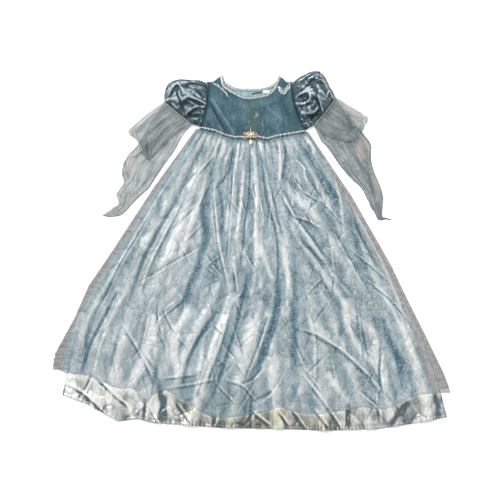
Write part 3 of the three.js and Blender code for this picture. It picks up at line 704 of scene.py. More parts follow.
@dataclass(frozen=True)
class Satin:
    """Satin: bright and smooth under a coat of gloss, painted grey in its creases, with pressed facets."""

    name: str
    light: str
    middle: str
    deep: str
    crush: float = 1.0
    mottle: float = 0.6
    roughness: float = 0.34
    cream: str = "efe6d3"

    def material(self) -> Finish:
        """Colour from the painted shade of folds and facets, and clouds, with a bump of the facets and fine
        threads.
        """
        kit = ShaderKit(self.name, coat_weight=0.3, coat_roughness=0.2, sheen_weight=0.1, metallic=0.15)
        where = kit.place()
        cloud = kit.noise(where, 40.0, 4.0, 0.8) - 0.5
        facet, crack = kit.facets(*LARGE_PRESSES)
        small, fine_crack = kit.facets(*SMALL_PRESSES)
        grain = kit.noise(where, 300.0, 2.0) - 0.5
        # painted facet shading: each facet lighter or darker as if slanted to the light, and darker along its
        # creases
        crush = (facet - 0.5) * 0.4 + (small - 0.5) * 0.25 + (1.0 - crack) * 0.15 + (1.0 - fine_crack) * 0.1
        tone = kit.shade("tone") * 0.5 + 0.3 + cloud * self.mottle + grain * 0.3 + crush * self.crush
        colour = kit.tones(tone, self, 0.4)
        colour = kit.mix(colour, tint(self.cream), kit.shade("cream"), "MULTIPLY")
        kit.feed(base_color=colour, roughness=self.roughness + cloud * 0.15)
        threads = kit.noise(kit.place((1800.0, 300.0, 500.0)), 1.0, 2.0)
        presses = crack + facet * 0.8 + fine_crack * 0.4 + small * 0.4
        kit.bump(presses * self.crush + threads * 0.06 + cloud * self.mottle * 1.6, 0.6, 0.002)
        return kit.material


@dataclass(frozen=True)
class Velvet:
    """Teal velvet: soft pile with nap streaks, a darker middle band and scattered glitter, its flecks to the
    metre.
    """

    name: str = "teal_velvet"
    light: str = "688994"
    middle: str = "355662"
    deep: str = "1b343f"
    worn: str = "4c5b53"
    glitter: str = "a9bdb8"
    flecks: float = 300.0

    def material(self) -> Finish:
        """Colour from nap streaks and clouds, a band down the middle front, and sparse pale glitter."""
        kit = ShaderKit(
            self.name, roughness=0.8, sheen_weight=0.4, sheen_roughness=0.35, sheen_tint=(0.65, 0.8, 0.86, 1.0)
        )
        where = kit.place()
        nap = kit.noise(kit.place((170.0, 26.0, 60.0)), 1.0, 4.0, 0.3) - 0.5
        cloud = kit.noise(where, 24.0, 4.0, 0.6) - 0.5
        grain = kit.noise(where, 320.0, 2.0) - 0.5
        # the bodice front's tone is painted shade at the armhole seams and in crease troughs, with painted
        # highlights on crease ridges
        tone = kit.shade("tone") * 0.6 + 0.46 + nap * 0.55 + cloud * 0.9 + grain * 0.9
        colour = kit.tones(tone, self, 0.5)
        worn = kit.shade("worn")
        colour = kit.mix(colour, tint(self.worn), worn * (0.5 + cloud + nap * 0.6))
        fleck = kit.grey(kit.cells(where, self.flecks, "Color"))
        spark = fleck.above(0.95) * (1.0 - kit.cells(where, self.flecks).between(0.18, 0.4)) * 0.7
        stroke = kit.noise(kit.place((170.0, 50.0, 60.0), 0.8), 1.0, 3.0, 0.5).between(0.6, 0.72) * 0.6
        glitter = spark.most(stroke) * kit.shade("glitter")
        colour = kit.mix(colour, tint(self.glitter), glitter * 0.8)
        kit.feed(base_color=colour, roughness=0.82 - glitter * 0.4)
        kit.bump(kit.noise(where, 1300.0, 2.0) * 0.5 + nap, 0.45, 0.0008)
        return kit.material


@dataclass(frozen=True)
class Panne:
    """Crushed panne of the puffs: flattened shiny pile, painted dark in its creases and white on its ridges."""

    name: str = "crushed_panne"
    light: str = "b7c9cf"
    middle: str = "3d5f6d"
    deep: str = "10242f"

    def material(self) -> Finish:
        """Colour from painted crease shade and highlights, marbled clouds, half metallic, with a swirled crush
        bump.
        """
        kit = ShaderKit(self.name, coat_weight=0.3, coat_roughness=0.2, sheen_weight=0.2)
        where = kit.place()
        marble = kit.noise(where, 26.0, 5.0, 1.6) - 0.5
        facet, crack = kit.facets(34.0, 16.0, 0.6)
        # painted facet shading, darker along the facets' creases
        crush = (facet - 0.5) * 0.25 + (1.0 - crack) * 0.12
        tone = kit.shade("tone") * 0.62 + 0.47 + marble * 0.5 + crush
        colour = kit.tones(tone, self, 0.42)
        kit.feed(base_color=colour, metallic=0.25 + marble * 0.4, roughness=0.3 + marble * 0.15)
        kit.bump(marble * 1.2 + crack * 0.4 + facet * 0.2 + kit.noise(where, 90.0, 3.0, 1.0) * 0.4, 0.6, 0.003)
        return kit.material


@dataclass(frozen=True)
class Metal:
    """Metal of the braid's beads and the brooch, a little uneven in colour and gloss."""

    name: str
    light: str
    deep: str
    metallic: float = 0.85
    roughness: float = 0.28
    pitch: float = 400.0

    def material(self) -> Finish:
        """Colour between two tones by fine noise, dull in its hollows."""
        kit = ShaderKit(self.name, metallic=self.metallic)
        mottle = kit.noise(kit.place(), self.pitch, 3.0)
        colour = kit.mix(tint(self.light), tint(self.deep), mottle.between(0.35, 0.7))
        kit.feed(base_color=colour, roughness=self.roughness + mottle * 0.15)
        kit.bump(mottle, 0.2, 0.0004)
        return kit.material


@dataclass(frozen=True)
class Gem:
    """Pale cut stone with a clear coat and its cuts to the metre."""

    name: str
    light: str
    deep: str
    cuts: float = 620.0

    def material(self) -> Finish:
        """Colour between two tones in small facets, under a hard coat."""
        kit = ShaderKit(self.name, coat_weight=0.8, coat_roughness=0.04)
        facet = kit.grey(kit.cells(kit.place(), self.cuts, "Color"))
        colour = kit.mix(tint(self.light), tint(self.deep), facet * 0.7)
        kit.feed(base_color=colour, roughness=facet * 0.2 + 0.08)
        kit.bump(kit.cells(kit.place(), self.cuts), 0.5, 0.0006)
        return kit.material


@dataclass(frozen=True)
class Weave:
    """Plain woven tape or label: crossed threads."""

    name: str
    light: str
    deep: str

    def material(self) -> Finish:
        """Threads as two crossed sets of fine lines."""
        kit = ShaderKit(self.name, roughness=0.7)
        along = kit.noise(kit.place((1600.0, 200.0, 200.0)), 1.0, 1.0)
        across = kit.noise(kit.place((200.0, 1600.0, 200.0)), 1.0, 1.0)
        thread = along.most(across)
        kit.feed(base_color=kit.mix(tint(self.deep), tint(self.light), thread.between(0.35, 0.65)))
        kit.bump(thread, 0.4, 0.0004)
        return kit.material


@dataclass(frozen=True)
class Floor:
    """Plain pale table top."""

    name: str = "pale_floor"
    colour: str = "f6f6f5"
    cloud: str = "f1f1f0"

    def material(self) -> Finish:
        """Matt and nearly white, with the faintest cloud."""
        kit = ShaderKit(self.name, roughness=0.9, emission_color=(1.0, 1.0, 1.0, 1.0), emission_strength=0.35)
        cloud = kit.noise(kit.place(), 3.0, 2.0)
        kit.feed(base_color=kit.mix(tint(self.colour), tint(self.cloud), cloud * 0.4))
        return kit.material


def made(finish: Any) -> Any:
    """A field of the wardrobe that holds a finish's material, made with the wardrobe."""
    return field(default_factory=finish.material)


@dataclass
class Wardrobe:
    """Every finish of the dress, made once."""

    organza: Finish = made(GlitterOrganza())
    organza_back: Finish = made(GlitterOrganza(name="glitter_organza_back"))
    drape: Finish = made(DrapeOrganza())
    satin: Finish = made(Satin("underskirt_satin", "ebedec", "bcc2c1", "53646c"))
    pale_satin: Finish = made(Satin("pale_satin", "cfd5d5", "8d9a9c", "404f55", 0.0, 0.2))
    lining: Finish = made(Satin("aqua_satin", "a8bdc2", "86a7af", "557a86", 0.0, 0.2))
    velvet: Finish = made(Velvet())
    panne: Finish = made(Panne())
    beads: Finish = made(Metal("silver_beads", "ffffff", "dcd6d0", 0.1))
    cord: Finish = made(Metal("braid_core", "6d5a50", "33291f", 0.2, 0.5))
    gold: Finish = made(Metal("rose_gold", "e4cdb6", "94745a", 0.75, 0.25))
    gem: Finish = made(Gem("cream_stone", "fff6e0", "e6cfa4"))
    label: Finish = made(Weave("label_weave", "f2f2ee", "d4d6d2"))
    tape: Finish = made(Weave("tape_weave", "4a5c64", "27343a"))
    floor: Finish = made(Floor())


# How a finished piece gets its finish and its body

def dress_piece(piece: Piece, material: Finish, slot: str, *nodes: str) -> None:
    """Gives a piece its finish and its body, and lets it stand for CAD nodes.

    Args:
        piece: the finished object.
        material: its finish.
        slot: not used.
        nodes: CAD nodes that it replaces.
    """
    piece.data.materials.append(material)
    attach(piece, ROOT)
    if nodes:
        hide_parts(*nodes)
    faces = len(piece.data.polygons)
    log.info("%s: %d faces, stands for %s", piece.name, faces, ", ".join(nodes) or "nothing")


# Skirt

@dataclass
class SkirtCut:
    """Outline and relief that the four skirt panels share, by the share across and down the underskirt."""

    sides: Table = field(default_factory=lambda: Table(
        "down left_x left_y right_x right_y", (0, -131, 329, 146, 319), (0.25, -226, 161, 246, 142),
        (0.5, -319, -9, 334, -38), (0.74, -405, -171, 407, -211), (0.9, -424, -280, 437, -325),
        (1, -432, -348, 449, -397),
    ))
    waist_dips: Table = field(default_factory=lambda: Table(
        "across dip", (0, 0), (0.14, 7), (0.23, 18), (0.33, 25), (0.48, 22), (0.55, 21), (0.63, 26),
        (0.72, 17), (0.85, 9), (1, 0),
    ))
    hem_dips: Table = field(default_factory=lambda: Table(
        "across dip", (0, 0), (0.06, 15), (0.15, 51), (0.2, 43), (0.24, 50), (0.42, 52), (0.57, 47),
        (0.68, 45), (0.82, 35), (0.93, 15), (1, 0),
    ))
    rises: Table = field(default_factory=lambda: Table(
        "across rise", (0, 54), (0.05, 66), (0.12, 69), (0.18, 72), (0.215, 38), (0.235, 62), (0.33, 49),
        (0.365, 31), (0.49, 31), (0.535, 38), (0.57, 48), (0.61, 39), (0.74, 44), (0.79, 51), (0.845, 43),
        (0.93, 63), (1, 59),
    ))
    spreads: Table = field(default_factory=lambda: Table(
        "down left right", (0, 9, 6), (0.25, 20, 10), (0.5, 23, 10), (0.62, 28, 8), (0.74, 14, 8),
        (0.86, 38, 20), (1, 32, 24),
    ))
    folds: tuple[tuple[float, ...], ...] = (
        (0.016, 0.02, 0.2, 0.9, 5, 0.016), (0.07, 0.066, 0.04, 0.86, 6, 0.032),
        (0.15, 0.21, 0.05, 0.72, 10, 0.05), (0.2, 0.235, 0.1, 0.6, 7, 0.028),
        (0.17, 0.62, 0.16, 0.62, 8, 0.028), (0.37, 0.42, 0.04, 0.5, 7, 0.03),
        (0.44, 0.41, 0.06, 0.62, 8, 0.026), (0.51, 0.54, 0.03, 0.52, 11, 0.034),
        (0.735, 0.33, -0.04, 0.22, 8, 0.024), (0.67, 0.6, 0.24, 0.74, 8, 0.03),
        (0.52, 0.99, 0.24, 0.74, 10, 0.028), (0.73, 0.98, 0.1, 0.6, 11, 0.042),
        (0.86, 0.93, 0.03, 0.5, 8, 0.03), (0.95, 0.935, 0.06, 0.66, 8, 0.024),
        (0.13, 0.13, 0.58, 1.15, 9, 0.034), (0.52, 0.26, 0.5, 0.98, 8, 0.026),
        (0.6, 0.335, 0.46, 1.2, 10, 0.028), (0.64, 0.44, 0.5, 1.2, 10, 0.03),
        (0.56, 0.56, 0.62, 1.2, 8, 0.026), (0.73, 0.68, 0.42, 1.2, 9, 0.034),
        (0.66, 0.8, 0.5, 1.1, 7, 0.026), (0.87, 0.86, 0.6, 1.1, 9, 0.02), (0.96, 0.95, 0.58, 1.2, 9, 0.026),
    )
    gaps: tuple[float, ...] = (
        0, 0.05, 0.101, 0.147, 0.191, 0.229, 0.275, 0.316, 0.36, 0.395, 0.432, 0.476, 0.535, 0.598, 0.651,
        0.701, 0.759, 0.822, 0.887, 0.944, 1,
    )
    gather_height: float = 4.4
    fold_cap: float = 16.0

    def place(self, across: Field, down: Field) -> tuple[Field, Field]:
        """Place on the table: straight across between the side edges, let down by both edges' dips."""
        x = lerp(self.sides.at("left_x", down), self.sides.at("right_x", down), across)
        side = lerp(self.sides.at("left_y", down), self.sides.at("right_y", down), across)
        dip = lerp(self.waist_dips.at("dip", across), self.hem_dips.at("dip", across), down)
        return x, side - dip

    def end(self, across: Field) -> Field:
        """Share down at which the overskirt ends: 1 less its rise over the panel's length there."""
        top_x, top_y = self.place(across, np.zeros_like(across))
        low_x, low_y = self.place(across, np.ones_like(across))
        return 1 - self.rises.eased("rise", across) / np.hypot(low_x - top_x, low_y - top_y)

    def gather(self, across: Field, down: Field) -> Field:
        """Gathers: a sine arch between each two gaps, growing below the waist to its own length."""
        place = np.interp(across, self.gaps, np.arange(len(self.gaps)))
        order = np.floor(place)
        length = 0.13 + 0.06 * np.sin(order * 2.4) + 0.04 * np.sin(order * 5.1)
        size = 0.8 + 0.35 * np.sin(order * 1.7)
        arch = np.abs(np.sin(place * math.pi)) ** 0.6 * size
        return self.gather_height * arch * smooth(down / 0.03) * (1 - smooth((down - 0.04) / length))

    def fold(self, across: Field, down: Field) -> Field:
        """Soft folds: a squared cosine across each, a sine along it, all together held under the cap."""
        total = np.zeros_like(across)
        for waist_at, hem_at, start, end, height, half_width in self.folds:
            along = np.clip((down - start) / (end - start), 0.0, 1.0)
            offset = (across - lerp(waist_at, hem_at, down)) / half_width
            total += height * bell(offset) * np.sin(along * math.pi) ** 0.8
        return self.fold_cap * np.tanh(total / self.fold_cap)

    def relief(self, across: Field, down: Field) -> Field:
        """Gathers and folds together, none at the side edges."""
        side = smooth(np.minimum(across, 1 - across) / 0.022)
        return (self.gather(across, down) + self.fold(across, down) * smooth(down / 0.06)) * side


# Creases of both front layers, bright gleams on them, and the satin's own past the organza's end
# creases: tones are painted shade in troughs and painted highlights on ridges; on the organza the dark bands
# are partly its stacked layers
SHARED_CREASES = [
    *skirt_creases(
        Profile.ROUND,
        (-2.0, 8, 0.55, (93, 40), (104, 170), (101, 280), (92, 380), (90, 490), (102, 600), (112, 700)),
        (-2.0, 7, 1.2, (61, 620), (62, 740), (47, 810), (36, 930)),
        (-3.0, 16, 0.8, (215, 80), (247, 230), (257, 300), (291, 370), (294, 430), (288, 520), (272, 660)),
        (-1.6, 5, 0.8, (342, 20), (336, 90), (331, 140), (267, 220)),
        (-1.8, 8, 0.6, (275, 170), (333, 260), (362, 380)),
        (-1.6, 4, 0.8, (476, 30), (473, 220), (461, 300), (458, 370), (450, 500)),
        (-1.8, 5, 0.8, (545, 20), (561, 110), (571, 240), (602, 380), (589, 560)),
        (-3.0, 13, 1.1, (596, 500), (580, 620), (545, 740), (500, 860)),
        (-1.8, 5, 1.3, (774, 30), (745, 80), (714, 120), (679, 160), (657, 180)),
        (-1.6, 9, 0.9, (683, 350), (719, 400), (756, 450), (788, 490)),
        (-1.4, 13, 0.32, (899, 140), (934, 210), (949, 290), (956, 390), (961, 480)),
        (-1.4, 5, 0.6, (900, 10), (911, 120), (905, 220), (930, 300)),
        (-2.0, 11, 0.6, (940, 100), (938, 320), (930, 460)),
        (-1.4, 6, 0.7, (974, 240), (982, 300), (959, 390), (960, 440), (959, 530)),
        (-1.6, 8, 0.6, (866, 600), (839, 660), (829, 770), (823, 840)),
        (-2.4, 13, 0.8, (900, 660), (910, 770), (907, 920)),
        (-1.4, 16, 0.75, (660, 420), (638, 590), (625, 750), (612, 930)),
        (-2.2, 7, 0.9, (482, 500), (458, 660), (433, 770), (399, 890), (370, 950)),
        (-2.4, 8, 0.9, (390, 630), (347, 730), (323, 800), (310, 880)),
        (-2.0, 11, 0.8, (242, 860), (256, 930), (258, 1000)),
        (-1.0, 8, 0.5, (173, 660), (182, 790)),
        (-0.8, 7, 0.4, (112, 710), (112, 850)),
        (-1.0, 9, 0.5, (240, 770), (230, 920)),
        (-1.2, 9, 0.7, (30, 700), (35, 800), (50, 920)),
        (-1.0, 12, 0.5, (790, 580), (770, 700), (720, 800)),
        (-2.0, 10, 0.7, (602, 560), (575, 660), (550, 750), (515, 820)),
        (-1.6, 6, 0.9, (276, 530), (274, 600), (246, 640), (224, 670)),
        (-1.6, 14, 0.5, (872, 650), (898, 730), (922, 830), (937, 890)),
    ),
    *skirt_creases(
        Profile.PINCH,
        (1.5, 5, 0.7, (267, 200), (329, 330), (363, 420), (394, 490), (420, 560)),
        (1.8, 6, 0.8, (660, 680), (756, 750), (829, 850), (856, 930)),
        (1.3, 4, 0.5, (30, 290), (32, 420), (30, 540), (37, 630), (39, 740)),
        (1.6, 5, 0.9, (664, 220), (690, 280), (705, 300), (761, 320), (806, 350)),
        (1.2, 4, 0.5, (358, 80), (381, 210), (392, 340), (402, 460)),
        (1.3, 5, 0.6, (118, 710), (181, 780), (242, 880)),
        (1.2, 4, 0.5, (205, 620), (259, 690), (320, 760)),
        (1.3, 4, 0.6, (305, 400), (254, 440), (174, 510), (108, 580)),
        (1.2, 4, 0.6, (885, 420), (945, 500), (982, 560)),
        (1.2, 4, 0.6, (890, 520), (957, 610), (988, 700)),
        (1.4, 5, 0.6, (645, 830), (698, 930), (733, 1000)),
        (1.5, 4, 0.7, (890, 730), (859, 820), (849, 900)),
        (1.2, 4, 0.5, (640, 680), (712, 710), (775, 770)),
        (1.0, 4, 0.5, (255, 620), (216, 690), (259, 760)),
        (1.3, 4, 0.6, (590, 830), (552, 890), (490, 930)),
        (1.0, 4, 0.5, (474, 780), (440, 670)),
        (1.0, 4, 0.5, (340, 930), (376, 800)),
        (1.1, 4, 0.5, (510, 860), (462, 950)),
        (1.8, 4, 0.8, (559, 640), (534, 720), (509, 790), (484, 850)),
        (2.0, 4, 0.9, (538, 810), (506, 850), (475, 870)),
        (1.5, 4, 0.7, (424, 850), (475, 870), (498, 900), (516, 920)),
        (1.3, 4, 0.7, (580, 870), (535, 910), (502, 930)),
        (1.3, 4, 0.6, (201, 620), (213, 670), (249, 740)),
        (1.4, 4, 0.7, (268, 890), (305, 880), (342, 870), (402, 850)),
        (1.3, 4, 0.6, (255, 860), (303, 850), (341, 840)),
        (1.5, 4, 0.7, (852, 600), (832, 690), (825, 800)),
        (1.8, 4, 0.9, (886, 760), (857, 830), (852, 910)),
        (1.1, 3.5, 0.5, (672, 590), (708, 550), (756, 520), (736, 570), (692, 580)),
    ),
    *skirt_creases(
        Profile.STEP,
        (2.6, 14, 1.2, (660, 200), (705, 310), (757, 410), (801, 510), (835, 580)),
        (1.6, 10, 0.6, (430, 600), (420, 700), (395, 800), (360, 900)),
        (1.6, 9, 0.6, (140, 200), (128, 350), (120, 500), (130, 620)),
        (1.4, 9, 0.5, (585, 100), (600, 250), (625, 400)),
        (1.4, 9, 0.5, (850, 300), (870, 450), (900, 620)),
        (1.4, 10, 0.5, (680, 600), (690, 720), (670, 860)),
    ),
]


def crush_stars(seed: int, count: int) -> list[Crease]:
    """Short straight creases that meet in threes and fours, as in cloth that was folded small and pressed.

    Args:
        seed: seed of the places, lengths and headings.
        count: how many meeting points there are.

    Returns:
        The creases, by the share across and down the skirt.
    """
    draw = np.random.default_rng(seed)
    rows = []
    for _ in range(count):
        across, down = draw.uniform(0.04, 0.96), draw.uniform(0.14, 0.97)
        for ray in range(int(draw.integers(2, 5))):
            heading = math.pi * (0.5 + ray) + draw.uniform(-0.95, 0.95)
            length = draw.uniform(20, 80)
            step_across = length * math.cos(heading) / lerp(WAIST_WIDTH, HEM_WIDTH, down)
            step_down = length * math.sin(heading) / SKIRT_LENGTH
            end = (min(max(across + step_across, 0.0), 1.0), min(max(down + step_down, 0.0), 1.0))
            lift = draw.uniform(0.6, 1.5) * draw.choice((-1, 1, 1))
            half_width, tone = draw.uniform(3, 4.5), draw.uniform(0.3, 0.7)
            rows.append(Crease(lift, half_width, tone, Profile.PINCH, ((across, down), end)))
    return rows


STARS = crush_stars(77, 36)

# gleams: raised ridges whose negative tone is a painted highlight of the satin
GLEAMS = skirt_creases(
    Profile.ROUND,
    (1.0, 20, -0.35, (150, 100), (165, 250), (172, 380), (160, 500), (150, 640)),
    (0.6, 9, -0.6, (215, 200), (215, 350), (222, 500)),
    (1.0, 6, -0.8, (318, 30), (305, 80), (296, 140)),
    (0.6, 8, -0.5, (400, 60), (400, 250), (410, 420)),
    (0.6, 6, -0.6, (437, 80), (432, 250), (424, 420)),
    (0.8, 8, -0.7, (508, 40), (515, 200), (510, 350), (505, 500), (490, 640)),
    (1.8, 9, -1.2, (720, 50), (706, 90), (675, 140), (660, 170)),
    (1.0, 15, -1.0, (687, 180), (733, 230), (777, 290), (804, 330)),
    (0.9, 6, -1.0, (703, 310), (737, 370), (772, 430), (802, 490), (826, 540)),
    (0.8, 11, -0.9, (522, 390), (544, 450), (562, 500), (581, 530)),
    (1.0, 4, -0.8, (532, 230), (539, 270), (546, 310), (532, 340)),
    (1.0, 4, -0.8, (740, 110), (806, 100), (841, 130), (823, 160), (828, 210), (828, 240)),
    (0.8, 8, -0.7, (985, 190), (966, 230), (932, 300), (895, 380)),
    (1.2, 4, -0.9, (918, 60), (958, 40), (980, 45), (980, 60), (956, 80), (928, 80)),
    (1.2, 6, -1.0, (543, 20), (572, 35), (563, 60)),
    (1.0, 4, -0.8, (819, 20), (821, 40), (812, 70)),
    (1.0, 6, -0.9, (268, 90), (271, 50), (277, 20)),
    (0.8, 7, -0.6, (381, 20), (380, 70), (390, 140)),
    (0.6, 14, -0.7, (533, 590), (515, 670), (499, 740)),
    (0.6, 22, -0.5, (272, 690), (273, 800)),
    (0.6, 14, -0.6, (584, 770), (550, 840)),
    (0.8, 20, -0.7, (676, 650), (714, 700), (749, 740)),
    (0.8, 13, -0.7, (805, 590), (805, 640), (804, 690)),
    (0.8, 11, -0.7, (849, 750), (849, 800), (845, 840)),
    (0.8, 4, -0.7, (941, 620), (965, 670), (947, 740), (955, 800), (970, 870)),
    (0.6, 12, -0.6, (712, 820), (728, 870)),
    (0.6, 10, -0.7, (622, 360), (627, 500), (645, 640)),
    (0.6, 12, -0.6, (800, 580), (800, 720), (860, 840)),
    (0.6, 8, -0.6, (925, 500), (950, 680), (965, 840)),
    (0.6, 18, -1.0, (200, 660), (200, 800), (160, 920)),
    (0.8, 5, -0.8, (83, 600), (80, 750), (70, 900)),
    (0.6, 12, -0.7, (300, 600), (280, 720), (295, 880)),
    (0.6, 9, -0.7, (365, 720), (345, 900)),
    (0.6, 9, -0.7, (435, 520), (400, 680), (375, 800)),
    (0.6, 8, -0.6, (545, 840), (560, 930)),
    (0.6, 12, -0.5, (700, 820), (760, 930)),
    (0.6, 6, -0.8, (990, 240), (985, 500), (972, 780)),
)

SATIN_CREASES = [
    *skirt_creases(
        Profile.PINCH,
        (1.8, 5, 0.8, (80, 900), (133, 925), (178, 960)),
        (1.6, 5, 0.8, (0, 955), (58, 970), (120, 995)),
        (1.6, 5, 0.8, (74, 900), (59, 960), (45, 1000)),
        (1.4, 5, 0.7, (300, 930), (340, 990)),
        (1.4, 5, 0.7, (600, 930), (640, 1000)),
        (1.4, 5, 0.7, (660, 930), (700, 1000)),
        (2.0, 5, 1.0, (492, 940), (547, 990)),
        (2.0, 5, 0.9, (513, 940), (485, 990)),
        (1.8, 5, 0.9, (565, 940), (594, 990)),
        (1.6, 5, 0.8, (410, 960), (400, 1000)),
    ),
    *skirt_creases(
        Profile.ROUND,
        (-2.5, 7, 1.3, (216, 930), (214, 1000)),
        (-2.5, 12, 1.2, (262, 910), (270, 1000)),
        (-2.0, 6, 1.1, (497, 900), (490, 1000)),
        (-2.4, 9, 1.2, (752, 920), (742, 1000)),
        (-2.2, 12, 1.0, (915, 930), (845, 1000)),
        (-2.0, 9, 0.9, (985, 910), (980, 1000)),
        (-1.4, 6, 0.6, (390, 950), (400, 1000)),
        (-1.4, 5, 0.6, (570, 940), (585, 1000)),
    ),
]


@dataclass
class Skirt:
    """The four skirt panels: overskirt and underskirt, front and back."""

    cut: SkirtCut
    wardrobe: Wardrobe
    front_columns: int = 340
    front_rows: int = 280
    back_columns: int = 150
    back_rows: int = 110
    satin_level: float = 4.5
    satin_edge: float = 2.2
    organza_gap: float = 0.9
    organza_edge: float = 1.7
    hem_tones: Table = field(default_factory=lambda: Table(
        "across tone cream", (0, -0.35, 0.1), (0.25, -0.3, 0.2), (0.34, 0.25, 0.6), (0.5, 0.3, 1.0),
        (0.7, 0.2, 0.8), (0.8, 0.15, 0.3), (0.92, 0.4, 0.2), (1, 0.35, 0.2),
    ))
    hem_band: float = 5.0
    hem_puckers: int = 112
    crush_widths: tuple[float, float] = (400.0, 720.0)
    crush_length: float = 290.0
    side_columns: int = 9

    def satin(self, across: Field, down: Field) -> tuple[Field, Field]:
        """Height and tone of the underskirt front's upper face.

        The shared relief and creases lie on a level that rounds down to the back panel at both side edges. Past
        the overskirt's hem the satin has creases and small pleats of its own and rests lower. The tone is
        painted shade in troughs, hollows and under the waist braid, and painted highlight on ridges, gleams and
        raised folds.

        Args:
            across: share across the panel.
            down: share down the panel.

        Returns:
            The height in mm and the tone.
        """
        x, y = self.cut.place(across, down)
        relief = self.cut.relief(across, down) * 0.6
        lift, tone = crease_fields(x, y, SHARED_CREASES + STARS, self.cut.place)
        gleam_lift, gleam_tone = crease_fields(x, y, GLEAMS, self.cut.place)
        own_lift, own_tone = crease_fields(x, y, SATIN_CREASES, self.cut.place)
        run_x, run_y = (across - 0.5) * lerp(*self.crush_widths, down), down * self.crush_length
        crush = 1.4 * crumple(run_x, run_y, 44, 3) + 0.8 * crumple(run_x, run_y, 20, 13)
        crush = (crush - 0.6 * crumple(run_x, run_y * 1.5, 26, 23)) * (0.75 + 0.45 * waves(x, y, 150, 33))
        inner = smooth(np.minimum(across, 1 - across) / 0.03)
        below = smooth(down / 0.08)
        level = lerp(self.satin_edge, self.satin_level, smooth(np.minimum(across, 1 - across) / 0.012))
        beyond = smooth((down - self.cut.end(across)) / 0.03)
        height = level - beyond * 1.0 + relief + (lift + gleam_lift + own_lift + crush * below) * inner
        pleats = waves(x, y * 0.3, 15, 61) + 0.6 * waves(x * 1.3, y * 0.2, 9, 62)
        height = height + 1.2 * pleats * beyond * inner
        # painted shade and highlights: the creases' and gleams' tones, shading that follows the pleats, and
        # lighter on raised relief
        tones = (tone + gleam_tone) * 1.6 + own_tone * 1.3 + 0.7 * pleats * beyond - relief * 0.02
        # painted shade in hollows below their surroundings
        tones = tones + 0.4 * hollow(height, 2) + 0.16 * hollow(height, 9)
        # painted shadow under the waist braid
        return np.maximum(height, 1.7), tones + 0.5 * smooth((0.03 - down) / 0.03)

    def underskirt_front(self) -> Surface:
        """Satin front panel down to its hem, whose narrow band is rolled and puckered.

        The band is half a cosine arch over its width, and its puckers are a sine along the hem.

        Returns:
            The surface.
        """
        down, across = grid(self.front_rows, self.front_columns)
        x, y = self.cut.place(across, down)
        height, tone = self.satin(across, down)
        start = 1 - self.hem_band / SKIRT_LENGTH
        band = np.clip((down - start) * SKIRT_LENGTH / self.hem_band, 0.0, 1.0)
        uneven = 3 * np.sin(across * 31) + 2 * np.sin(across * 77)
        pucker = np.sin(across * self.hem_puckers * 2 * math.pi + uneven)
        pucker = pucker * (0.55 + 0.45 * np.sin(across * 19 + 1))
        near = smooth(band * 2)
        height = height + near * (np.sin(band * math.pi) * 1.2 + pucker * 0.7)
        height = height - smooth((band - 0.8) / 0.2) * 1.2
        above_band = bell((down - (1 - self.hem_band * 1.5 / SKIRT_LENGTH)) * SKIRT_LENGTH / 9)
        # painted shading that follows the hem's puckers, and painted shade just above the rolled band
        tone = tone + near * pucker * 0.6 + above_band * (0.3 + pucker * 0.4)
        y = y + near * pucker * 0.5
        strip = smooth((down - self.cut.end(across)) / 0.01)
        tone = tone * (1 + 0.5 * strip) + strip * self.hem_tones.at("tone", across)
        points = np.stack((x, y, np.maximum(height, 0.6)), axis=-1)
        return Surface(points, {"tone": tone, "cream": strip * self.hem_tones.at("cream", across)})

    def overskirt_front(self) -> Surface:
        """Organza front panel: on the satin, with small lifts of its own, spread on the table past both sides.

        Returns:
            The surface, with its tone, bareness, warmth, edge and glitter, and a map that widens to the hem.
        """
        margin = self.side_columns
        inside = self.front_columns - 2 * margin
        across_line = np.concatenate((np.zeros(margin), np.linspace(0, 1, inside), np.ones(margin)))
        outward = np.linspace(0, 1, margin + 1)[1:]
        out = np.concatenate((outward[::-1], np.zeros(inside), outward))
        share, across = np.meshgrid(np.linspace(0, 1, self.front_rows), across_line, indexing="ij")
        beyond = np.broadcast_to(out, share.shape)
        left = np.broadcast_to(across_line < 0.5, share.shape)
        down = share * (self.cut.end(across) - 0.022 * beyond * left)
        x, y = self.cut.place(across, down)
        spread = np.where(left, -self.cut.spreads.at("left", down), self.cut.spreads.at("right", down))
        ragged = 3 * waves(y, y * 0, 9, 41) * smooth((down - 0.82) / 0.06)
        x = x + (spread + ragged * left) * beyond
        height, tone = self.satin(across, down)
        puff = np.maximum(waves(x, y * 0.5, 48, 11), 0) * 1.2
        puff = puff + np.maximum(waves(x * 1.5, y * 0.35, 20, 12), 0) * 0.8
        inner = smooth(np.minimum(across, 1 - across) / 0.02)
        height = height + self.organza_gap + puff * smooth(down / 0.1) * inner
        flat = self.organza_edge + 0.5 + 0.5 * waves(x, y, 30, 21)
        height = lerp(height, flat, smooth(beyond / 0.35))
        gather = self.cut.gather(across, down)
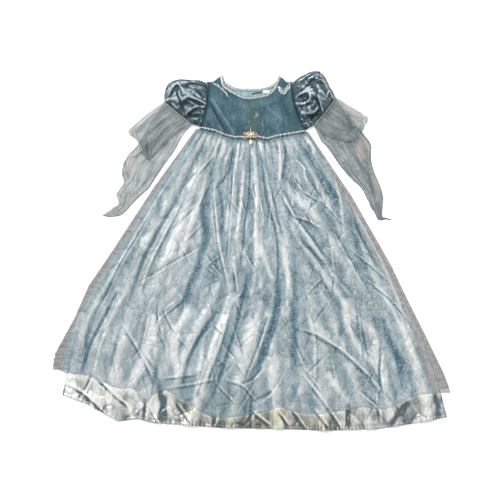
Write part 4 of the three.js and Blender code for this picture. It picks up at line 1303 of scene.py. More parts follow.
        # darker near the waist where the gathered organza stacks, with painted highlights on the gathers'
        # arches
        tone = tone + (0.45 - gather * 0.26) * smooth((0.16 - down) / 0.12) + 0.12 * smooth((0.2 - down) / 0.2)
        tone = tone + waves(x, y * 0.4, 30, 31) * 0.2 - 0.3 * smooth((down - 0.5) / 0.3)
        left_side = smooth((0.32 - across) / 0.12) * smooth((across - 0.04) / 0.05)
        tone = tone - 0.35 * left_side * (1 - smooth((down - 0.6) / 0.3))
        fold_back = smooth((across - 0.966) / 0.02) * smooth((down - 0.1) / 0.1)
        rim = np.maximum(smooth((beyond - 0.8) / 0.2), smooth((share - 0.992) / 0.008))
        bare = smooth(beyond / 0.3)
        height = height + rim * 0.3
        warm = np.maximum(smooth((beyond - 0.1) / 0.7), 0.75 * fold_back)
        shades = {"tone": tone * (1 - bare), "bare": bare, "warm": warm, "edge": rim}
        patches = smooth(0.5 + 0.8 * waves(x, y * 0.5, 110, 51))
        shades["glitter"] = lerp(0.25, 1.0, smooth((across - 0.45) / 0.3)) * (0.5 + 0.5 * patches)
        places = (0.5 + (across - 0.5) * lerp(0.5, 1.0, down), down)
        return Surface(points_at(x, y, height), shades, shares=places)

    def underskirt_back(self) -> Surface:
        """Satin back panel, softly uneven under the front, and on the table past the overskirt's hem."""
        down, across = grid(self.back_rows, self.back_columns)
        x, y = self.cut.place(across, down)
        beyond = smooth((down - self.cut.end(across)) / 0.03)
        height = lerp(2.0, 0.9, beyond) + 0.25 * waves(x, y, 70, 8)
        return Surface(np.stack((x, y, height), axis=-1), {"tone": 0.3 + 0.3 * waves(x, y, 60, 9)})

    def overskirt_back(self) -> Surface:
        """Organza back panel on the table, as wide as the front's spread."""
        share, across = grid(self.back_rows, self.back_columns)
        down = share * (self.cut.end(across) - 0.012)
        x, y = self.cut.place(across, down)
        side = np.abs(across - 0.5) * 2
        spread = np.where(across < 0.5, -self.cut.spreads.at("left", down), self.cut.spreads.at("right", down))
        x = x + spread * 0.97 * smooth((side - 0.8) / 0.2)
        height = 0.5 + 0.12 * waves(x, y, 50, 13)
        bare = smooth((side - 0.94) / 0.05)
        shades = {"tone": 0.2 * waves(x, y, 40, 14), "bare": bare, "warm": bare}
        return Surface(points_at(x, y, height), shades)

    def build(self) -> None:
        """Makes the four panels."""
        organza, satin = "skirt_organza", "satin"
        for node, surface, material, slot, flat, area in (
            ("overskirt_back", self.overskirt_back(), self.wardrobe.organza_back, organza, (0.94, 0.66),
             0.44),
            ("underskirt_back", self.underskirt_back(), self.wardrobe.satin, satin, (0.93, 0.71), 0.45),
            ("underskirt_front", self.underskirt_front(), self.wardrobe.satin, satin, (0.95, 0.72), 0.5),
            ("overskirt_front", self.overskirt_front(), self.wardrobe.organza, organza, (0.98, 0.68), 0.52),
        ):
            piece = add_surface(node + "_cloth", surface)
            dress_piece(piece, material, slot, node)


# Bodice

FRONT_TOP = Table(
    "x y", (-114.5, 462), (-97, 466), (-80, 481), (-75, 451), (-59, 436), (-38, 422), (-19, 413), (-1, 410),
    (16, 412), (36, 416), (50, 421), (63, 432), (71, 443), (84, 479), (97, 464), (112, 462),
)
BACK_TOP = Table(
    "x y", (-114.5, 462), (-97, 466), (-80, 480), (-73, 472), (-59, 460), (-41, 449), (-25, 446), (2, 444.5),
    (29, 446), (54, 454), (70, 466), (84, 478), (97, 464), (112, 462),
)


@dataclass
class Puff:
    """One puff sleeve's sections, from the armhole to the cuff, and the creases on it."""

    side: str
    outward: float
    sections: Table
    marks: list[Crease]
    seed: int
    ring_columns: int = 216
    rows: int = 110
    seam_height: float = 11.0
    ripple_height: float = 2.2
    ripples: int = 6
    depth: float = 0.0

    def section(self, place: Field) -> dict[str, Field]:
        """Each size of the section at a share along the sleeve, on a smooth curve through the table."""
        return {name: self.sections.eased(name, place) for name in self.sections.columns}

    def armhole(self, share: Field) -> Field:
        """Across place of the bodice's edge at the armhole, from the underarm to the shoulder."""
        seam = {name: values[0] for name, values in self.sections.columns.items()}
        bow = 4 * seam["bow"] * share * (1 - share)
        return lerp(seam["inner_x"], seam["outer_x"], share) + bow - self.outward * SEAM

    def ring(self, place: Field, angle: Field) -> tuple[Field, Field]:
        """Share along a section and height of a ring's point: a D with a flat underside.

        The share follows a flattened cosine. The top rises on a flattened sine to a crown that grows from the
        seam, with ripples that fade at both ends of the sleeve, and the underside is drawn in at its corners.

        Args:
            place: share along the sleeve.
            angle: angle round the ring.

        Returns:
            The share and the height in mm.
        """
        corner = self.seam_height / 2
        cosine, sine = np.cos(angle), np.sin(angle)
        share = 0.5 - 0.5 * np.sign(cosine) * np.abs(cosine) ** 0.85
        swell = np.sin(place * math.pi)
        ripple = self.ripple_height * swell * smooth(share / 0.3) * np.sin(2 * angle * self.ripples)
        crown = lerp(self.seam_height, self.section(place)["height"], smooth(share / 0.55))
        top = corner + (crown - corner) * np.abs(sine) ** 0.85 + ripple
        bottom = corner - corner * np.minimum(1, 1.3 * np.abs(sine) ** 0.7)
        return share, np.where(sine >= 0, top, bottom)

    def surface(self) -> Surface:
        """The puff's outer face: its rings, crushed by listed creases and seeded crumples."""
        turn = np.linspace(0, 2 * math.pi, self.ring_columns, endpoint=False)
        place, angle = np.meshgrid(np.linspace(0, 1, self.rows), turn, indexing="ij")
        share, height = self.ring(place, angle)
        sizes = self.section(place)
        bow = 4 * sizes["bow"] * share * (1 - share)
        x = lerp(sizes["inner_x"], sizes["outer_x"], share) + bow
        y = lerp(sizes["inner_y"], sizes["outer_y"], share)
        # crease tones: painted shade in troughs and painted highlights on ridges
        lift, tone = crease_fields(x, y, self.marks)
        tone = tone + self.depth
        free = np.sin(place * math.pi) ** 0.5
        top = smooth((height - 3) / 6)
        crush = 1.4 * crumple(x * 0.75, y * 1.2, 17, self.seed)
        crush = crush + 0.7 * crumple(x * 0.8, y * 1.2, 9, self.seed + 5)
        crush = (crush - 0.9 * crumple(x * 0.9, y, 12, self.seed + 9)) * free
        height = np.maximum(height + (lift + crush) * top, 0.0)
        # painted shade in hollows below their surroundings, on the sleeve's top
        tone = tone + (0.3 * hollow(height, 3) + 0.16 * hollow(height, 8)) * top
        return Surface(points_at(x, y, height), {"tone": tone}, joined=True)

    def beside_cuff(self, share: Field, away: float) -> tuple[Field, Field]:
        """Places along the cuff's bowed edge on the table, moved away from the sleeve.

        Args:
            share: share from the edge's inner to its outer end.
            away: how far the places are moved, in mm.

        Returns:
            The places across and along, in mm.
        """
        last = {name: values[-1] for name, values in self.sections.columns.items()}
        run = np.array((last["outer_x"] - last["inner_x"], last["outer_y"] - last["inner_y"]))
        run /= np.hypot(*run)
        bow = 4 * last["bow"] * share * (1 - share)
        x = lerp(last["inner_x"], last["outer_x"], share) + bow + run[1] * self.outward * away
        y = lerp(last["inner_y"], last["outer_y"], share) - run[0] * self.outward * away
        return x, y

    def cuff_line(self, away: float, count: int) -> Field:
        """Points beside the cuff, from its outer to its inner end."""
        return np.stack(self.beside_cuff(np.linspace(1, 0, count), away), axis=-1)


LEFT_PUFF = Puff(
    "left", -1.0,
    Table(
        "place outer_x outer_y inner_x inner_y bow height", (0, -115, 461, -131.5, 334, 9, 12),
        (0.125, -134, 467, -134, 335, 6, 25), (0.25, -160, 467, -136.5, 336, 3, 37),
        (0.375, -185, 465, -139, 337, 0, 44), (0.5, -206, 458, -141.5, 337.5, 0, 46),
        (0.625, -219, 448, -144, 338, 0, 43), (0.75, -225, 435, -146.5, 338.5, -1, 35),
        (0.875, -227, 420, -149, 339, -2, 23), (1, -225.5, 405, -151.5, 339.5, -3, 11),
    ),
    [
        *creases(
            Profile.ROUND,
            (-5, 7, 1.5, (-167, 426), (-156, 443), (-125, 445), (-110, 436)),
            (-4, 9, 0.9, (-147, 426), (-119, 408)),
            (-4.5, 6, 1.3, (-191, 424), (-186, 401), (-175, 379), (-168, 364)),
            (-3, 5, 1.0, (-180, 400), (-145, 402), (-112, 400)),
            (-3.5, 4, 1.5, (-168, 354), (-145, 371), (-127, 384)),
            (-2.5, 5, 1.2, (-147, 348), (-131, 325)),
        ),
        *creases(
            Profile.PINCH,
            (4, 6, 1.2, (-212, 412), (-189, 437), (-168, 408)),
            (3, 5, 1.1, (-224, 406), (-201, 400), (-184, 388)),
            (3.5, 6, 1.1, (-178, 390), (-155, 401), (-110, 394)),
            (2.5, 5, 1.1, (-148, 375), (-112, 389)),
            (2, 5, 1.1, (-125, 353), (-130, 327)),
            (2.5, 5, 1.0, (-219, 395), (-201, 373), (-178, 354)),
            (2, 4, 1.0, (-209, 399), (-188, 375)),
            (2, 4, 1.0, (-205, 388), (-192, 366)),
        ),
    ],
    101,
)
RIGHT_PUFF = Puff(
    "right", 1.0,
    Table(
        "place outer_x outer_y inner_x inner_y bow height", (0, 113, 461, 146.5, 324, -12, 12),
        (0.125, 130, 475, 149, 325.5, -8, 26), (0.25, 153, 486, 151.5, 327, -4, 38),
        (0.375, 175, 491, 154, 328.5, 0, 45), (0.5, 191, 483, 156.5, 330, 0, 47),
        (0.625, 202, 466, 159, 331.5, 0, 43), (0.75, 210, 449, 161.5, 333.5, 1, 35),
        (0.875, 220, 433, 164, 335.5, 2, 23), (1, 226.5, 417, 167, 337.5, 3, 11),
    ),
    [
        *creases(
            Profile.ROUND,
            (-5, 7, 1.5, (122, 418), (157, 441), (173, 462)),
            (-4, 10, 1.0, (159, 446), (174, 402)),
            (-3.5, 5, 1.4, (147, 354), (169, 357), (182, 374)),
            (-3, 8, -1.3, (131, 377), (148, 360)),
            (-4, 8, 1.2, (122, 410), (146, 402)),
        ),
        *creases(
            Profile.PINCH,
            (4, 6, 1.1, (125, 453), (158, 472), (182, 475)),
            (3.5, 5, 1.3, (114, 404), (132, 416), (152, 413), (154, 394), (136, 388), (114, 398)),
            (3.5, 5, 1.2, (144, 363), (166, 365), (179, 380)),
            (3.5, 5, 1.2, (175, 400), (191, 366)),
            (3, 5, 1.1, (196, 402), (208, 424), (220, 405)),
            (2.5, 4, 1.0, (203, 398), (215, 414), (224, 398)),
            (2, 5, 1.1, (135, 333), (147, 340), (158, 318)),
            (2, 4, 1.0, (122, 352), (150, 346)),
        ),
    ],
    202,
    depth=0.3,
)


@dataclass
class Bodice:
    """Velvet bodice front and back, with its neck finish."""

    cut: SkirtCut
    wardrobe: Wardrobe
    left: Puff
    right: Puff
    columns: int = 190
    rows: int = 120
    back_columns: int = 80
    back_rows: int = 50
    front_level: float = 5.5
    back_level: float = 1.8
    velvet_wall: float = 1.6
    crown: float = 4.5
    crown_side: float = 112.0
    creases: list[Crease] = field(default_factory=lambda: [
        *creases(
            Profile.ROUND,
            (3.6, 11, 0.0, (-112, 430), (-42, 300)),
            (3, 9, 0.0, (-118, 385), (-88, 318)),
            (2, 14, 0.0, (104, 440), (60, 395)),
            (-2.2, 5, 1.3, (-112, 412), (-83, 356), (-54, 301)),
            (-1.5, 4, 0.9, (-112, 352), (-102, 318)),
            (1.0, 6, -0.9, (-103, 416), (-68, 356), (-36, 300)),
            (0.8, 7, -0.4, (48, 384), (82, 350)),
            (-0.8, 9, 0.4, (90, 400), (110, 340)),
        ),
    ])

    def place(self, top: Table, across: Field, share: Field) -> tuple[Field, Field]:
        """Place on the table: between the armholes across, between the waist seam and the upper edge up."""
        upper_x = lerp(top.columns["x"][0], top.columns["x"][-1], across)
        x = lerp(self.left.armhole(share), self.right.armhole(share), across)
        waist = self.cut.place(across, np.zeros_like(across))[1] + SEAM
        return x, lerp(waist, top.at("y", upper_x), share)

    def front_height(self, x: Field, y: Field) -> tuple[Field, Field]:
        """Height and tone of the bodice front's upper face.

        A low crown falls to the armholes, the waist and the upper edge, and creases run from the left armhole.
        The tone paints shade along the armhole seams and in crease troughs, and highlights on crease ridges.

        Args:
            x: places across, in mm.
            y: places along, in mm.

        Returns:
            The height in mm and the tone.
        """
        low, high = self.left.armhole(np.zeros(1))[0], self.right.armhole(np.zeros(1))[0]
        across = np.clip((x - low) / (high - low), 0, 1)
        waist = self.cut.place(across, np.zeros_like(across))[1] + SEAM
        side = smooth(np.minimum(x + self.crown_side, self.crown_side - x) / 40)
        ends = smooth((y - waist) / 35) * smooth((FRONT_TOP.at("y", x) - y) / 30)
        lift, tone = crease_fields(x, y, self.creases)
        soft = 0.6 * waves(x, y, 50, 41) * ends
        pull = 0.5 * np.cos(x * 2 * math.pi / 13) * smooth((waist + 22 - y) / 22) * smooth((y - waist) / 6)
        up = np.clip((y - waist) / (FRONT_TOP.at("y", x) - waist), 0, 1)
        seam = np.minimum(x - self.left.armhole(up), self.right.armhole(up) - x)
        roll = 5.5 * smooth(1 - seam / 9)
        height = self.front_level + self.crown * side * ends + lift + soft + pull + roll
        # painted shade along the armhole seams, and shading that follows the soft waves
        return height, tone + 0.2 * soft + 0.9 * bell(seam / 5)

    def panel(self, top: Table, front: bool) -> Surface:
        """One bodice panel as a grid between its armholes, its waist seam and its upper edge."""
        rows, columns = (self.rows, self.columns) if front else (self.back_rows, self.back_columns)
        down, across = grid(rows, columns)
        x, y = self.place(top, across, 1 - down)
        if front:
            height, tone = self.front_height(x, y)
        else:
            height, tone = self.back_level + 0.1 * waves(x, y, 40, 44), 0.2 * waves(x, y, 50, 45)
        # a darker greenish band down the middle front
        worn = bell((x - 7 + (y - 340) * 0.05) / 25) * float(front)
        glitter = np.clip(1.2 - np.hypot((x - 22) / 85, (y - 355) / 65), 0, 1) * float(front)
        return Surface(points_at(x, y, height), {"tone": tone, "worn": worn, "glitter": glitter})

    def build(self) -> None:
        """Makes both panels."""
        for node, top, front, area in (
            ("bodice_back", BACK_TOP, False, 0.036),
            ("bodice_front", FRONT_TOP, True, 0.033),
        ):
            piece = add_surface(node + "_cloth", self.panel(top, front))
            give_wall(piece, self.velvet_wall)
            dress_piece(piece, self.wardrobe.velvet, "velvet", node)


def beside(edge: Field, distance: Any) -> Field:
    """Points beside a line, at a distance to its left, square to the line between each point's neighbours."""
    ahead = np.gradient(edge, axis=0)
    ahead /= np.linalg.norm(ahead, axis=1, keepdims=True)
    return edge + np.stack((-ahead[:, 1], ahead[:, 0]), axis=-1) * np.asarray(distance)[..., None]


@dataclass
class NeckTrims:
    """Bindings, facing, label, tape and the crumpled ribbons at the shoulders."""

    bodice: Bodice
    wardrobe: Wardrobe
    binding_width: float = 8.0
    facing_bottom: float = 398.0
    label_sides: tuple[float, float] = (35.0, 52.0)
    label_ends: tuple[float, float] = (440.0, 430.0)
    tape_route: Route = ((5, 428.5), (14, 431.5), (31, 434))
    steps: int = 170

    def edge(self, top: Table, first: int, last: int) -> Field:
        """Smooth neck edge through some of a table's points."""
        marks = np.stack((top.columns["x"], top.columns["y"]), axis=-1)[first:last]
        return curve_through(marks, self.steps)

    def binding(self, edge: Field, start: float, end: float, level: float, seed: int) -> Surface:
        """Binding strip beside a neck edge: a low arch across it, with small puckers square to the edge.

        Args:
            edge: the neck edge.
            start: distance of the near side from the edge.
            end: distance of the far side from the edge.
            level: height of the strip's sides.
            seed: seed of its unevenness.

        Returns:
            The surface.
        """
        shares = np.linspace(0, 1, 12)
        lines = np.stack([beside(edge, np.full(len(edge), lerp(start, end, share))) for share in shares])
        along = np.broadcast_to(np.arange(len(edge)), lines.shape[:2])
        share = np.broadcast_to(shares[:, None], lines.shape[:2])
        arch = np.sin(share * math.pi) ** 0.7
        pucker = waves(along * 1.6, share * 6, 9, seed)
        height = level + arch * (1.1 + 0.15 * pucker)
        # painted highlight along the strip's raised middle, painted shade towards its sides, and shading that
        # follows the puckers
        tone = pucker * 0.35 - arch * 0.9 + 0.75
        return Surface(points_at(lines[..., 0], lines[..., 1], height), {"tone": tone})

    def build_bindings(self) -> None:
        """Makes the two runs of the neck binding."""
        back = self.edge(BACK_TOP, 2, 12)
        front = self.edge(FRONT_TOP, 2, 14)
        for name, edge, start, end, level in (
            ("neck_binding_back", back, 0.0, -self.binding_width, 3.4),
            ("neck_binding_front", front, SEAM, SEAM + self.binding_width, 6.3),
        ):
            piece = add_surface(name + "_cloth", self.binding(edge, start, end, level, 51))
            give_wall(piece, 1.0)
            dress_piece(piece, self.wardrobe.pale_satin, "pale_satin", name)

    def build_facing(self) -> None:
        """Makes the facing that shows inside the neck, with soft wrinkles down it."""
        upper = beside(self.edge(BACK_TOP, 2, 12), np.full(self.steps, 0.6 - self.binding_width))[12:-12]
        lower = np.stack((upper[:, 0], np.full(len(upper), self.facing_bottom)), axis=-1)
        share = np.linspace(0, 1, 24)[:, None, None]
        plan = lerp(upper[None], lower[None], share)
        fold = waves(plan[..., 0] * 1.6, plan[..., 1] * 0.4, 26, 61)
        points = points_at(plan[..., 0], plan[..., 1], 3.1 + 0.25 * fold)
        # painted shading that follows the wrinkles, darker where they rise
        piece = add_surface("neck_facing_cloth", Surface(points, {"tone": fold * 0.6}))
        give_wall(piece, 0.8)
        dress_piece(piece, self.wardrobe.lining, "pale_satin", "neck_facing")

    def build_label(self) -> None:
        """Makes the blank label with one curled corner, and the narrow tape beside it."""
        share_y, share_x = grid(22, 30)
        x, y = lerp(*self.label_sides, share_x), lerp(*self.label_ends, share_y)
        height = 4.9 + 0.5 * np.sin(share_x * 5) + 1.2 * smooth((share_x + share_y - 1.4) / 0.6)
        label = add_surface("neck_label_cloth", Surface(points_at(x, y, height)))
        give_wall(label, 0.5)
        dress_piece(label, self.wardrobe.label, "satin", "neck_label")
        route = curve_through(self.tape_route, 60)
        lines = np.stack([beside(route, np.full(60, offset)) for offset in np.linspace(1.8, -1.8, 7)])
        bulge = 4.7 + 0.3 * np.sin(np.linspace(0, 1, 7) * math.pi)[:, None]
        bulge = bulge + 0.2 * np.sin(np.arange(60) * 0.4)[None]
        tape = add_surface("back_neck_tape_cloth", Surface(points_at(lines[..., 0], lines[..., 1], bulge)))
        give_wall(tape, 0.6)
        dress_piece(tape, self.wardrobe.tape, "dark_tape", "back_neck_tape")

    def ribbon(self, route: Route, width: float, seed: int) -> Surface:
        """Crumpled ribbon along a route on the bodice front.

        Its middle swings from side to side, its width pulses, and sharp waves run slantwise over it.

        Args:
            route: the ribbon's route.
            width: its widest width.
            seed: seed of its crumples.

        Returns:
            The surface.
        """
        count = 120
        line = curve_through(route, count)
        along = np.arange(count) * 0.55
        swing = 1.6 * waves(along, along * 0, 14, seed)
        line = beside(line, swing)
        ends = np.sin(np.linspace(0.04, 0.96, count) * math.pi) ** 0.35
        half = width * (0.42 + 0.13 * waves(along, along * 0, 10, seed + 1)) * ends
        shares = np.linspace(1, -1, 17)
        lines = np.stack([beside(line, half * share) for share in shares])
        base, _ = self.bodice.front_height(lines[..., 0], lines[..., 1])
        run, side = np.broadcast_to(along, lines.shape[:2]), np.broadcast_to(shares[:, None], lines.shape[:2])
        crumple = 1 - np.abs(waves(run, side * 4, 7, seed + 2, 6)) * 2
        height = base + 1.6 + crumple * 1.1 + 0.8 * (1 - side**2)
        # painted highlights on the crumples' ridges and painted shade in their troughs
        return Surface(points_at(lines[..., 0], lines[..., 1], height), {"tone": -crumple * 1.1 + 0.4})

    def build_ribbons(self) -> None:
        """Makes the two shoulder ribbons."""
        for side, route, width, seed, flat, area in (
            ("left", [(-101, 459), (-87, 451), (-74, 440), (-56, 416)], 8.0, 70, (0.08, 0.011), 0.0007),
            ("right", [(75, 449), (87, 426), (97, 440), (107, 458)], 13.0, 80, (0.08, 0.014), 0.0009),
        ):
            node = f"shoulder_ribbon_{side}"
            piece = add_surface(node + "_cloth", self.ribbon(route, width, seed))
            give_wall(piece, 0.4)
            dress_piece(piece, self.wardrobe.pale_satin, "pale_satin", node)

    def build(self) -> None:
        """Makes every neck trim."""
        self.build_bindings()
        self.build_facing()
        self.build_label()
        self.build_ribbons()


# Sleeves

@dataclass
class Drape:
    """One stretch of a sleeve drape: rows from the cuff to its loose end, from its outer to its inner edge."""

    name: str
    rows: tuple[tuple[float, float, float, float], ...]
    ripple: float
    start_level: float
    end_level: float
    warm: list[Crease]
    marks: list[Crease]
    seed: int
    flat: tuple[float, float]
    area: float
    depth: float = 0.0
    columns: int = 118
    lines: int = 190
    ripples: float = 3.5

    def surface(self, puff: Puff) -> Surface:
        """The drape's face: ripples run down it from the cuff, fine pleats fan out, and its rim is drawn dark.

        Args:
            puff: the sleeve it hangs from.

        Returns:
            The surface, with its tone, warmth and edge.
        """
        outer = np.array([row[:2] for row in self.rows], float)
        inner = np.array([row[2:] for row in self.rows], float)
        seam = puff.cuff_line(SEAM, 3)
        outer = np.concatenate((seam[:1], outer))
        inner = np.concatenate((seam[2:], inner))
        run = np.arange(self.lines) * 2.0
        fade = np.sin(np.linspace(0, 1, self.lines) * math.pi)[:, None] ** 0.5
        outer_wobble, inner_wobble = (
            np.stack([waves(run, run * 0, 45, self.seed + part + turn) for turn in (0, 1)], axis=-1)
            for part in (20, 40)
        )
        outer_line = curve_through(outer, self.lines) + 1.8 * fade * outer_wobble
        inner_line = curve_through(inner, self.lines) + 1.8 * fade * inner_wobble
        down, share = grid(self.lines, self.columns)
        plan = lerp(outer_line[:, None], inner_line[:, None], share[..., None])
        cuff = puff.cuff_line(SEAM, self.columns)
        straight = lerp(cuff[0], cuff[-1], np.linspace(0, 1, self.columns)[:, None])
        plan = plan + (cuff - straight)[None] * (1 - smooth(down / 0.1))[..., None]
        x, y = plan[..., 0], plan[..., 1]
        width = np.hypot(*(outer_line - inner_line).T)[:, None]
        wave = 0.5 - 0.5 * np.cos(2 * math.pi * self.ripples * share + 1.3 * np.sin(3 * down))
        growth = lerp(0.3, 1, smooth(down / 0.2)) * smooth(width / 40)
        growth = growth * smooth(8 * np.minimum(share, 1 - share))
        fine = waves(share * 100, down * 22, 9, self.seed) * 0.5 * smooth(width / 30)
        pleat = np.abs(np.sin(share * math.pi * 24 + waves(down * 50, share * 30, 30, self.seed + 1)))
        pleat = pleat * (1 - smooth(down / 0.35))
        lift, tone = crease_fields(x, y, self.marks)
        warm = np.clip(crease_fields(x, y, self.warm)[1], 0, 1)
        level = lerp(self.start_level, self.end_level, smooth(down / 0.3))
        inside = smooth(8 * np.minimum(share, 1 - share))
        height = level + self.ripple * wave * growth + (fine + 0.6 * pleat) * inside + lift
        near = np.minimum(share, 1 - share) * width
        rim = np.maximum(1 - smooth(near / 2.4), smooth((down - 0.985) / 0.01))
        # painted shade and highlights: lighter on the ripples' crests and the pleats, shading that follows the
        # fine waves and creases
        tone = tone - wave * growth * 0.25 + fine * 0.6 - pleat * 0.4 + 0.05 + self.depth
        return Surface(points_at(x, y, np.maximum(height, 0.4)), {"tone": tone, "warm": warm, "edge": rim})


DRAPES = {
    "left": (
        Drape(
            "sleeve_drape_left_lower",
            ((-262, 345, -174, 310), (-290, 283, -200, 258), (-319, 246, -222, 222), (-327, 208, -241, 188),
             (-322, 174, -262, 157), (-337, 146, -283, 135), (-331, 121, -306, 108), (-347, 107, -324, 90),
             (-370, 90, -352, 85)),
            2.2, 0.9, 0.7,
            creases(
                Profile.ROUND,
                (0, 17, 1.4, (-322, 262), (-306, 240), (-312, 206)),
                (0, 12, 1.3, (-336, 150), (-326, 118)),
            ),
            [
                *creases(
                    Profile.PINCH,
                    (1.4, 4, 1.0, (-320, 246), (-288, 258)),
                    (1.2, 4, 0.9, (-318, 246), (-312, 212)),
                    (1.0, 4, 0.8, (-318, 168), (-302, 190), (-290, 214)),
                    (1.0, 4, 0.8, (-328, 150), (-318, 140)),
                ),
                *creases(
                    Profile.ROUND,
                    (-1, 9, 0.9, (-262, 246), (-276, 262), (-250, 228)),
                    (-0.8, 7, 0.6, (-240, 210), (-290, 150)),
                ),
            ],
            301, (0.35, 0.12), 0.03,
        ),
        Drape(
            "sleeve_drape_left_upper",
            ((-272, 366, -193, 313), (-315, 320, -218, 282), (-296, 297, -236, 262), (-279, 262, -250, 248),
             (-265, 243, -259, 240)),
            4.0, 6.4, 4.8,
            creases(Profile.ROUND, (0, 13, 1.1, (-318, 318), (-298, 300))),
            [
                *creases(
                    Profile.PINCH,
                    (1.2, 4, 0.9, (-302, 322), (-292, 292)),
                    (1.0, 4, 0.7, (-292, 286), (-262, 240)),
                ),
                *creases(Profile.ROUND, (-1.2, 14, 1.0, (-250, 300), (-262, 270), (-262, 248))),
            ],
            311, (0.2, 0.12), 0.014,
        ),
    ),
    "right": (
        Drape(
            "sleeve_drape_right_lower",
            ((262, 362, 181, 302), (292, 320, 200, 275), (313, 284, 229, 228), (311, 248, 250, 198),
             (318, 207, 268, 177), (328, 174, 284, 161), (337, 140, 295, 135), (332, 108, 306, 106),
             (331, 88, 322, 79), (340, 84, 339, 79), (353, 80, 353, 77)),
            2.2, 0.9, 0.7,
            creases(
                Profile.ROUND,
                (0, 17, 1.2, (292, 300), (282, 270), (298, 240)),
                (0, 10, 1.3, (312, 200), (324, 160), (322, 125)),
            ),
            [
                *creases(
                    Profile.PINCH,
                    (1.3, 4, 0.9, (272, 300), (282, 268), (308, 226)),
                    (1.0, 4, 0.8, (306, 208), (318, 150)),
                ),
                *creases(Profile.ROUND, (-1.1, 9, 0.9, (240, 300), (262, 262), (300, 196), (312, 130))),
            ],
            321, (0.35, 0.12), 0.03, 0.45,
        ),
        Drape(
            "sleeve_drape_right_upper",
            ((250, 402, 193, 311), (284, 377, 215, 300), (308, 360, 238, 293), (303, 341, 252, 290),
             (291, 318, 265, 288)),
            4.0, 6.4, 4.8,
            creases(Profile.ROUND, (0, 15, 1.2, (232, 408), (270, 378), (308, 352))),
            [
                *creases(Profile.PINCH, (1.2, 4, 0.8, (244, 384), (262, 350), (276, 322))),
                *creases(Profile.ROUND, (-1.2, 12, 0.8, (252, 370), (262, 340), (262, 300))),
            ],
            331, (0.18, 0.13), 0.012, 0.1,
        ),
    ),
}


@dataclass
class Sleeve:
    """One sleeve: its puff, the cuff's piping and the two stretches of its drape."""

    puff: Puff
    drapes: tuple[Drape, ...]
    wardrobe: Wardrobe
    piping_radius: float = 1.3
    piping_gap: float = 1.8

    def piping(self) -> Surface:
        """Cord over the top of the cuff seam, a little uneven in thickness."""
        angle = np.linspace(0.22, math.pi - 0.22, 90)
        share, height = self.puff.ring(np.ones_like(angle), angle)
        x, y = self.puff.beside_cuff(share, self.piping_gap)
        radius = self.piping_radius * (1 + 0.12 * np.sin(np.arange(90) * 0.9))
        return tube(points_at(x, y, height), radius, 14)

    def build(self) -> None:
        """Makes the sleeve's pieces."""
        side = self.puff.side
        puff = add_surface(f"puff_sleeve_{side}_cloth", self.puff.surface())
        give_wall(puff, 1.0)
        dress_piece(puff, self.wardrobe.panne, "panne", f"puff_sleeve_{side}")
        for drape in self.drapes:
            piece = add_surface(drape.name + "_cloth", drape.surface(self.puff))
            dress_piece(piece, self.wardrobe.drape, "drape_organza", drape.name)
        piping = add_surface(f"cuff_piping_{side}_cord", self.piping())
        dress_piece(piping, self.wardrobe.pale_satin, "pale_satin", f"cuff_piping_{side}")


# Waist

def bead_shape(sides: int, rings: int) -> tuple[Field, Field]:
    """Unit ball as closed faces: rings of points between two poles."""
    turn = np.linspace(0, 2 * math.pi, sides, endpoint=False)
    tilt = np.linspace(0, math.pi, rings + 2)[1:-1]
    x, y = np.outer(np.sin(tilt), np.cos(turn)), np.outer(np.sin(tilt), np.sin(turn))
    body = points_at(x, y, np.outer(np.cos(tilt), np.ones(sides))).reshape(-1, 3)
    points = np.concatenate((((0.0, 0.0, 1.0),), body, ((0.0, 0.0, -1.0),)))
    number = 1 + np.arange(sides * rings).reshape(rings, sides)
    after = np.roll(number, -1, axis=1)
    walls = np.stack((number[:-1], number[1:], after[1:], after[:-1]), axis=-1).reshape(-1, 4)
    first, last = np.zeros(sides, int), np.full(sides, len(points) - 1)
    top = np.stack((first, number[0], after[0], first), axis=-1)
    low = np.stack((last, after[-1], number[-1], last), axis=-1)
    return points, np.concatenate((walls, top, low))


def add_beads(name: str, centres: Field, radii: Field) -> Piece:
    """Makes many small balls as one mesh: a unit ball repeated at each centre, scaled by its radii."""
    points, faces = bead_shape(8, 4)
    every = (centres[:, None] + points[None] * radii[:, None]).reshape(-1, 3)
    starts = (np.arange(len(centres)) * len(points))[:, None, None]
    corners = (faces[None] + starts).reshape(-1, 4)
    return add_mesh(name, every, [list(dict.fromkeys(row)) for row in corners.tolist()], {})


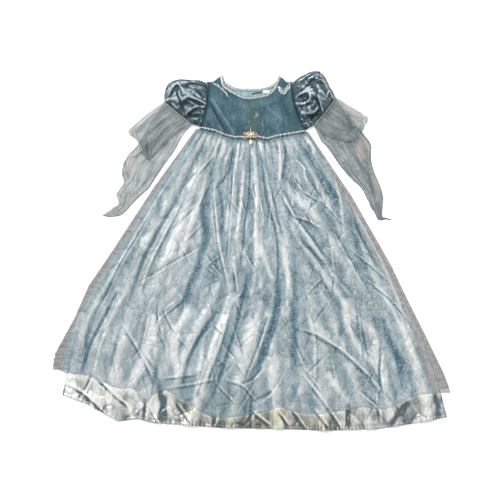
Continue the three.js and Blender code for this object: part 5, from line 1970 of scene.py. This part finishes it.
@dataclass
class Waist:
    """Beaded braid along the waist seam, and the brooch on it."""

    cut: SkirtCut
    wardrobe: Wardrobe
    level: float = 8.5
    scrolls: tuple[Route, ...] = (
        ((-3, 303), (-9, 298), (-15, 296), (-19, 300)),
        ((5, 303), (11, 298), (16, 299), (19, 304)),
        ((-6, 308), (-12, 312), (-17, 308)),
        ((8, 308), (13, 313), (18, 310)),
    )
    bead_radius: float = 1.9
    beads: int = 64
    braid_offset: float = 0.4
    star_middle: tuple[float, float] = (2.0, 306.0)
    star_level: float = 13.2
    scroll_level: float = 11.6

    def braid(self) -> None:
        """Makes the braid: a thin core, with two rows of beads that wind about it in opposite turns."""
        across = np.linspace(0, 1, 240)
        x, y = self.cut.place(across, np.zeros_like(across))
        core_route = points_at(x, y + self.braid_offset, np.full_like(x, self.level))
        core = add_surface("waist_braid_core", tube(core_route, 1.1, 12))
        dress_piece(core, self.wardrobe.cord, "silver_braid", "waist_braid")
        share = (np.arange(self.beads) + 0.5) / self.beads
        centre_x, centre_y = self.cut.place(share, np.zeros_like(share))
        draw = np.random.default_rng(7)
        for index, phase in enumerate((0.0, math.pi)):
            turn = np.arange(self.beads) * 1.9 + phase
            centres = points_at(
                centre_x + draw.normal(0, 0.12, self.beads),
                centre_y + self.braid_offset + 1.25 * np.cos(turn),
                self.level + 0.9 * np.sin(turn),
            )
            radii = np.full((self.beads, 3), self.bead_radius) * draw.uniform(0.85, 1.1, (self.beads, 1))
            piece = add_beads(f"waist_braid_beads_{index + 1}", centres, radii)
            dress_piece(piece, self.wardrobe.beads, "silver_braid")

    def brooch(self) -> None:
        """Gives the brooch's metal and stones their finish, and sets small stones along its arms."""
        gold, gem = self.wardrobe.gold, self.wardrobe.gem
        for node, material in (("brooch_star", gold), ("brooch_gem", gem), ("brooch_drop", gem)):
            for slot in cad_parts[node].material_slots:
                slot.material = material
        arms = [(90, (8, 12.5, 16.5, 20)), (0, (8, 12, 15.5)), (180, (8, 12, 15.5)), (270, (8,))]
        arms += [(angle, (7.5, 10.2)) for angle in (45, 135, 225, 315)]
        places = [(math.radians(angle), reach) for angle, reaches in arms for reach in reaches]
        angle, reach = np.array(places).T
        middle_x, middle_y = self.star_middle
        centres = points_at(
            middle_x + reach * np.cos(angle), middle_y + reach * np.sin(angle), self.star_level - reach * 0.055
        )
        radii = np.stack([np.interp(reach, (7, 20), (1.8, 1.1))] * 3, axis=-1)
        for index, route in enumerate(self.scrolls):
            line = curve_through(route, 24)
            places = np.column_stack((line, np.full(24, self.scroll_level)))
            scroll = add_surface(f"brooch_scroll_{index + 1}", tube(places, np.linspace(2.3, 1.3, 24), 10))
            dress_piece(scroll, gold, "rose_gold")
        dress_piece(add_beads("brooch_stones", centres, radii), gem, "pale_gem")

    def build(self) -> None:
        """Makes the braid and finishes the brooch."""
        self.braid()
        self.brooch()


# Studio

@dataclass
class Studio:
    """Floor, soft light and the camera at the photograph's angle."""

    wardrobe: Wardrobe
    target: tuple[float, float, float] = (-0.0002163, -0.0323479, 0.0)
    elevation: float = 74.0
    distance: float = 1.5
    lens: float = 43.87

    def floor(self) -> None:
        """Makes the table top, just under the dress."""
        half, level = 3000.0, -0.4
        points = np.array([(x * half, y * half, level) for x, y in ((-1, -1), (1, -1), (1, 1), (-1, 1))])
        floor = add_mesh("table_top", points, [(0, 1, 2, 3)], {})
        floor.data.materials.append(self.wardrobe.floor)

    def sun(self) -> None:
        """Makes the main light: even over the table, low from the upper left, with soft shadows."""
        lamp = bpy.data.lights.new("key_lamp", "SUN")
        lamp.energy = 2.0
        lamp.angle = math.radians(14)
        holder = put_in_scene("key_lamp", lamp)
        holder.rotation_euler = Vector((1.0, -0.9, -1.15)).to_track_quat("-Z", "Y").to_euler()

    def light(self, name: str, power: float, size: float, place: tuple[float, float, float]) -> None:
        """Makes one square lamp that faces the middle of the dress."""
        lamp = bpy.data.lights.new(name, "AREA")
        lamp.energy = power
        lamp.size = size
        lamp.color = (1.0, 0.99, 0.975)
        holder = put_in_scene(name, lamp)
        holder.location = place
        holder.rotation_euler = (Vector(self.target) - Vector(place)).to_track_quat("-Z", "Y").to_euler()

    def build(self) -> None:
        """Makes the floor, the lamps, the pale surroundings and the camera."""
        self.floor()
        self.sun()
        self.light("top_lamp", 11.0, 0.6, (-0.5, 0.75, 1.9))
        self.light("side_lamp", 12.0, 1.0, (1.7, 0.5, 1.1))
        world = bpy.data.worlds.new("pale_room")
        world.use_nodes = True
        background = world.node_tree.nodes["Background"]
        background.inputs["Color"].default_value = (1.0, 1.0, 1.0, 1.0)
        background.inputs["Strength"].default_value = 0.45
        bpy.context.scene.world = world
        bpy.context.scene.view_settings.view_transform = "Standard"
        tilt = math.radians(self.elevation)
        lens = bpy.data.cameras.new("camera")
        lens.sensor_width = 36.0
        lens.lens = self.lens
        camera = put_in_scene("camera", lens)
        back = Vector((0.0, -math.cos(tilt), math.sin(tilt)))
        camera.location = Vector(self.target) + back * self.distance
        camera.rotation_euler = (-back).to_track_quat("-Z", "Y").to_euler()
        bpy.context.scene.camera = camera


def plain(box: tuple[Any, Any]) -> list[list[float]]:
    """A box's two corners as plain lists."""
    return [[float(value) for value in corner] for corner in box]


def main() -> None:
    """Builds the dress from its bodice to its hem, then the studio."""
    logging.basicConfig(level=logging.INFO, format="%(name)s: %(message)s")
    wardrobe = Wardrobe()
    cut = SkirtCut()
    bodice = Bodice(cut, wardrobe, LEFT_PUFF, RIGHT_PUFF)
    parts = (
        Studio(wardrobe),
        bodice,
        NeckTrims(bodice, wardrobe),
        Sleeve(LEFT_PUFF, DRAPES["left"], wardrobe),
        Sleeve(RIGHT_PUFF, DRAPES["right"], wardrobe),
        Skirt(cut, wardrobe),
        Waist(cut, wardrobe),
    )
    for part in parts:
        part.build()
        log.info("%s is done", type(part).__name__)


if __name__ == "__main__":
    main()
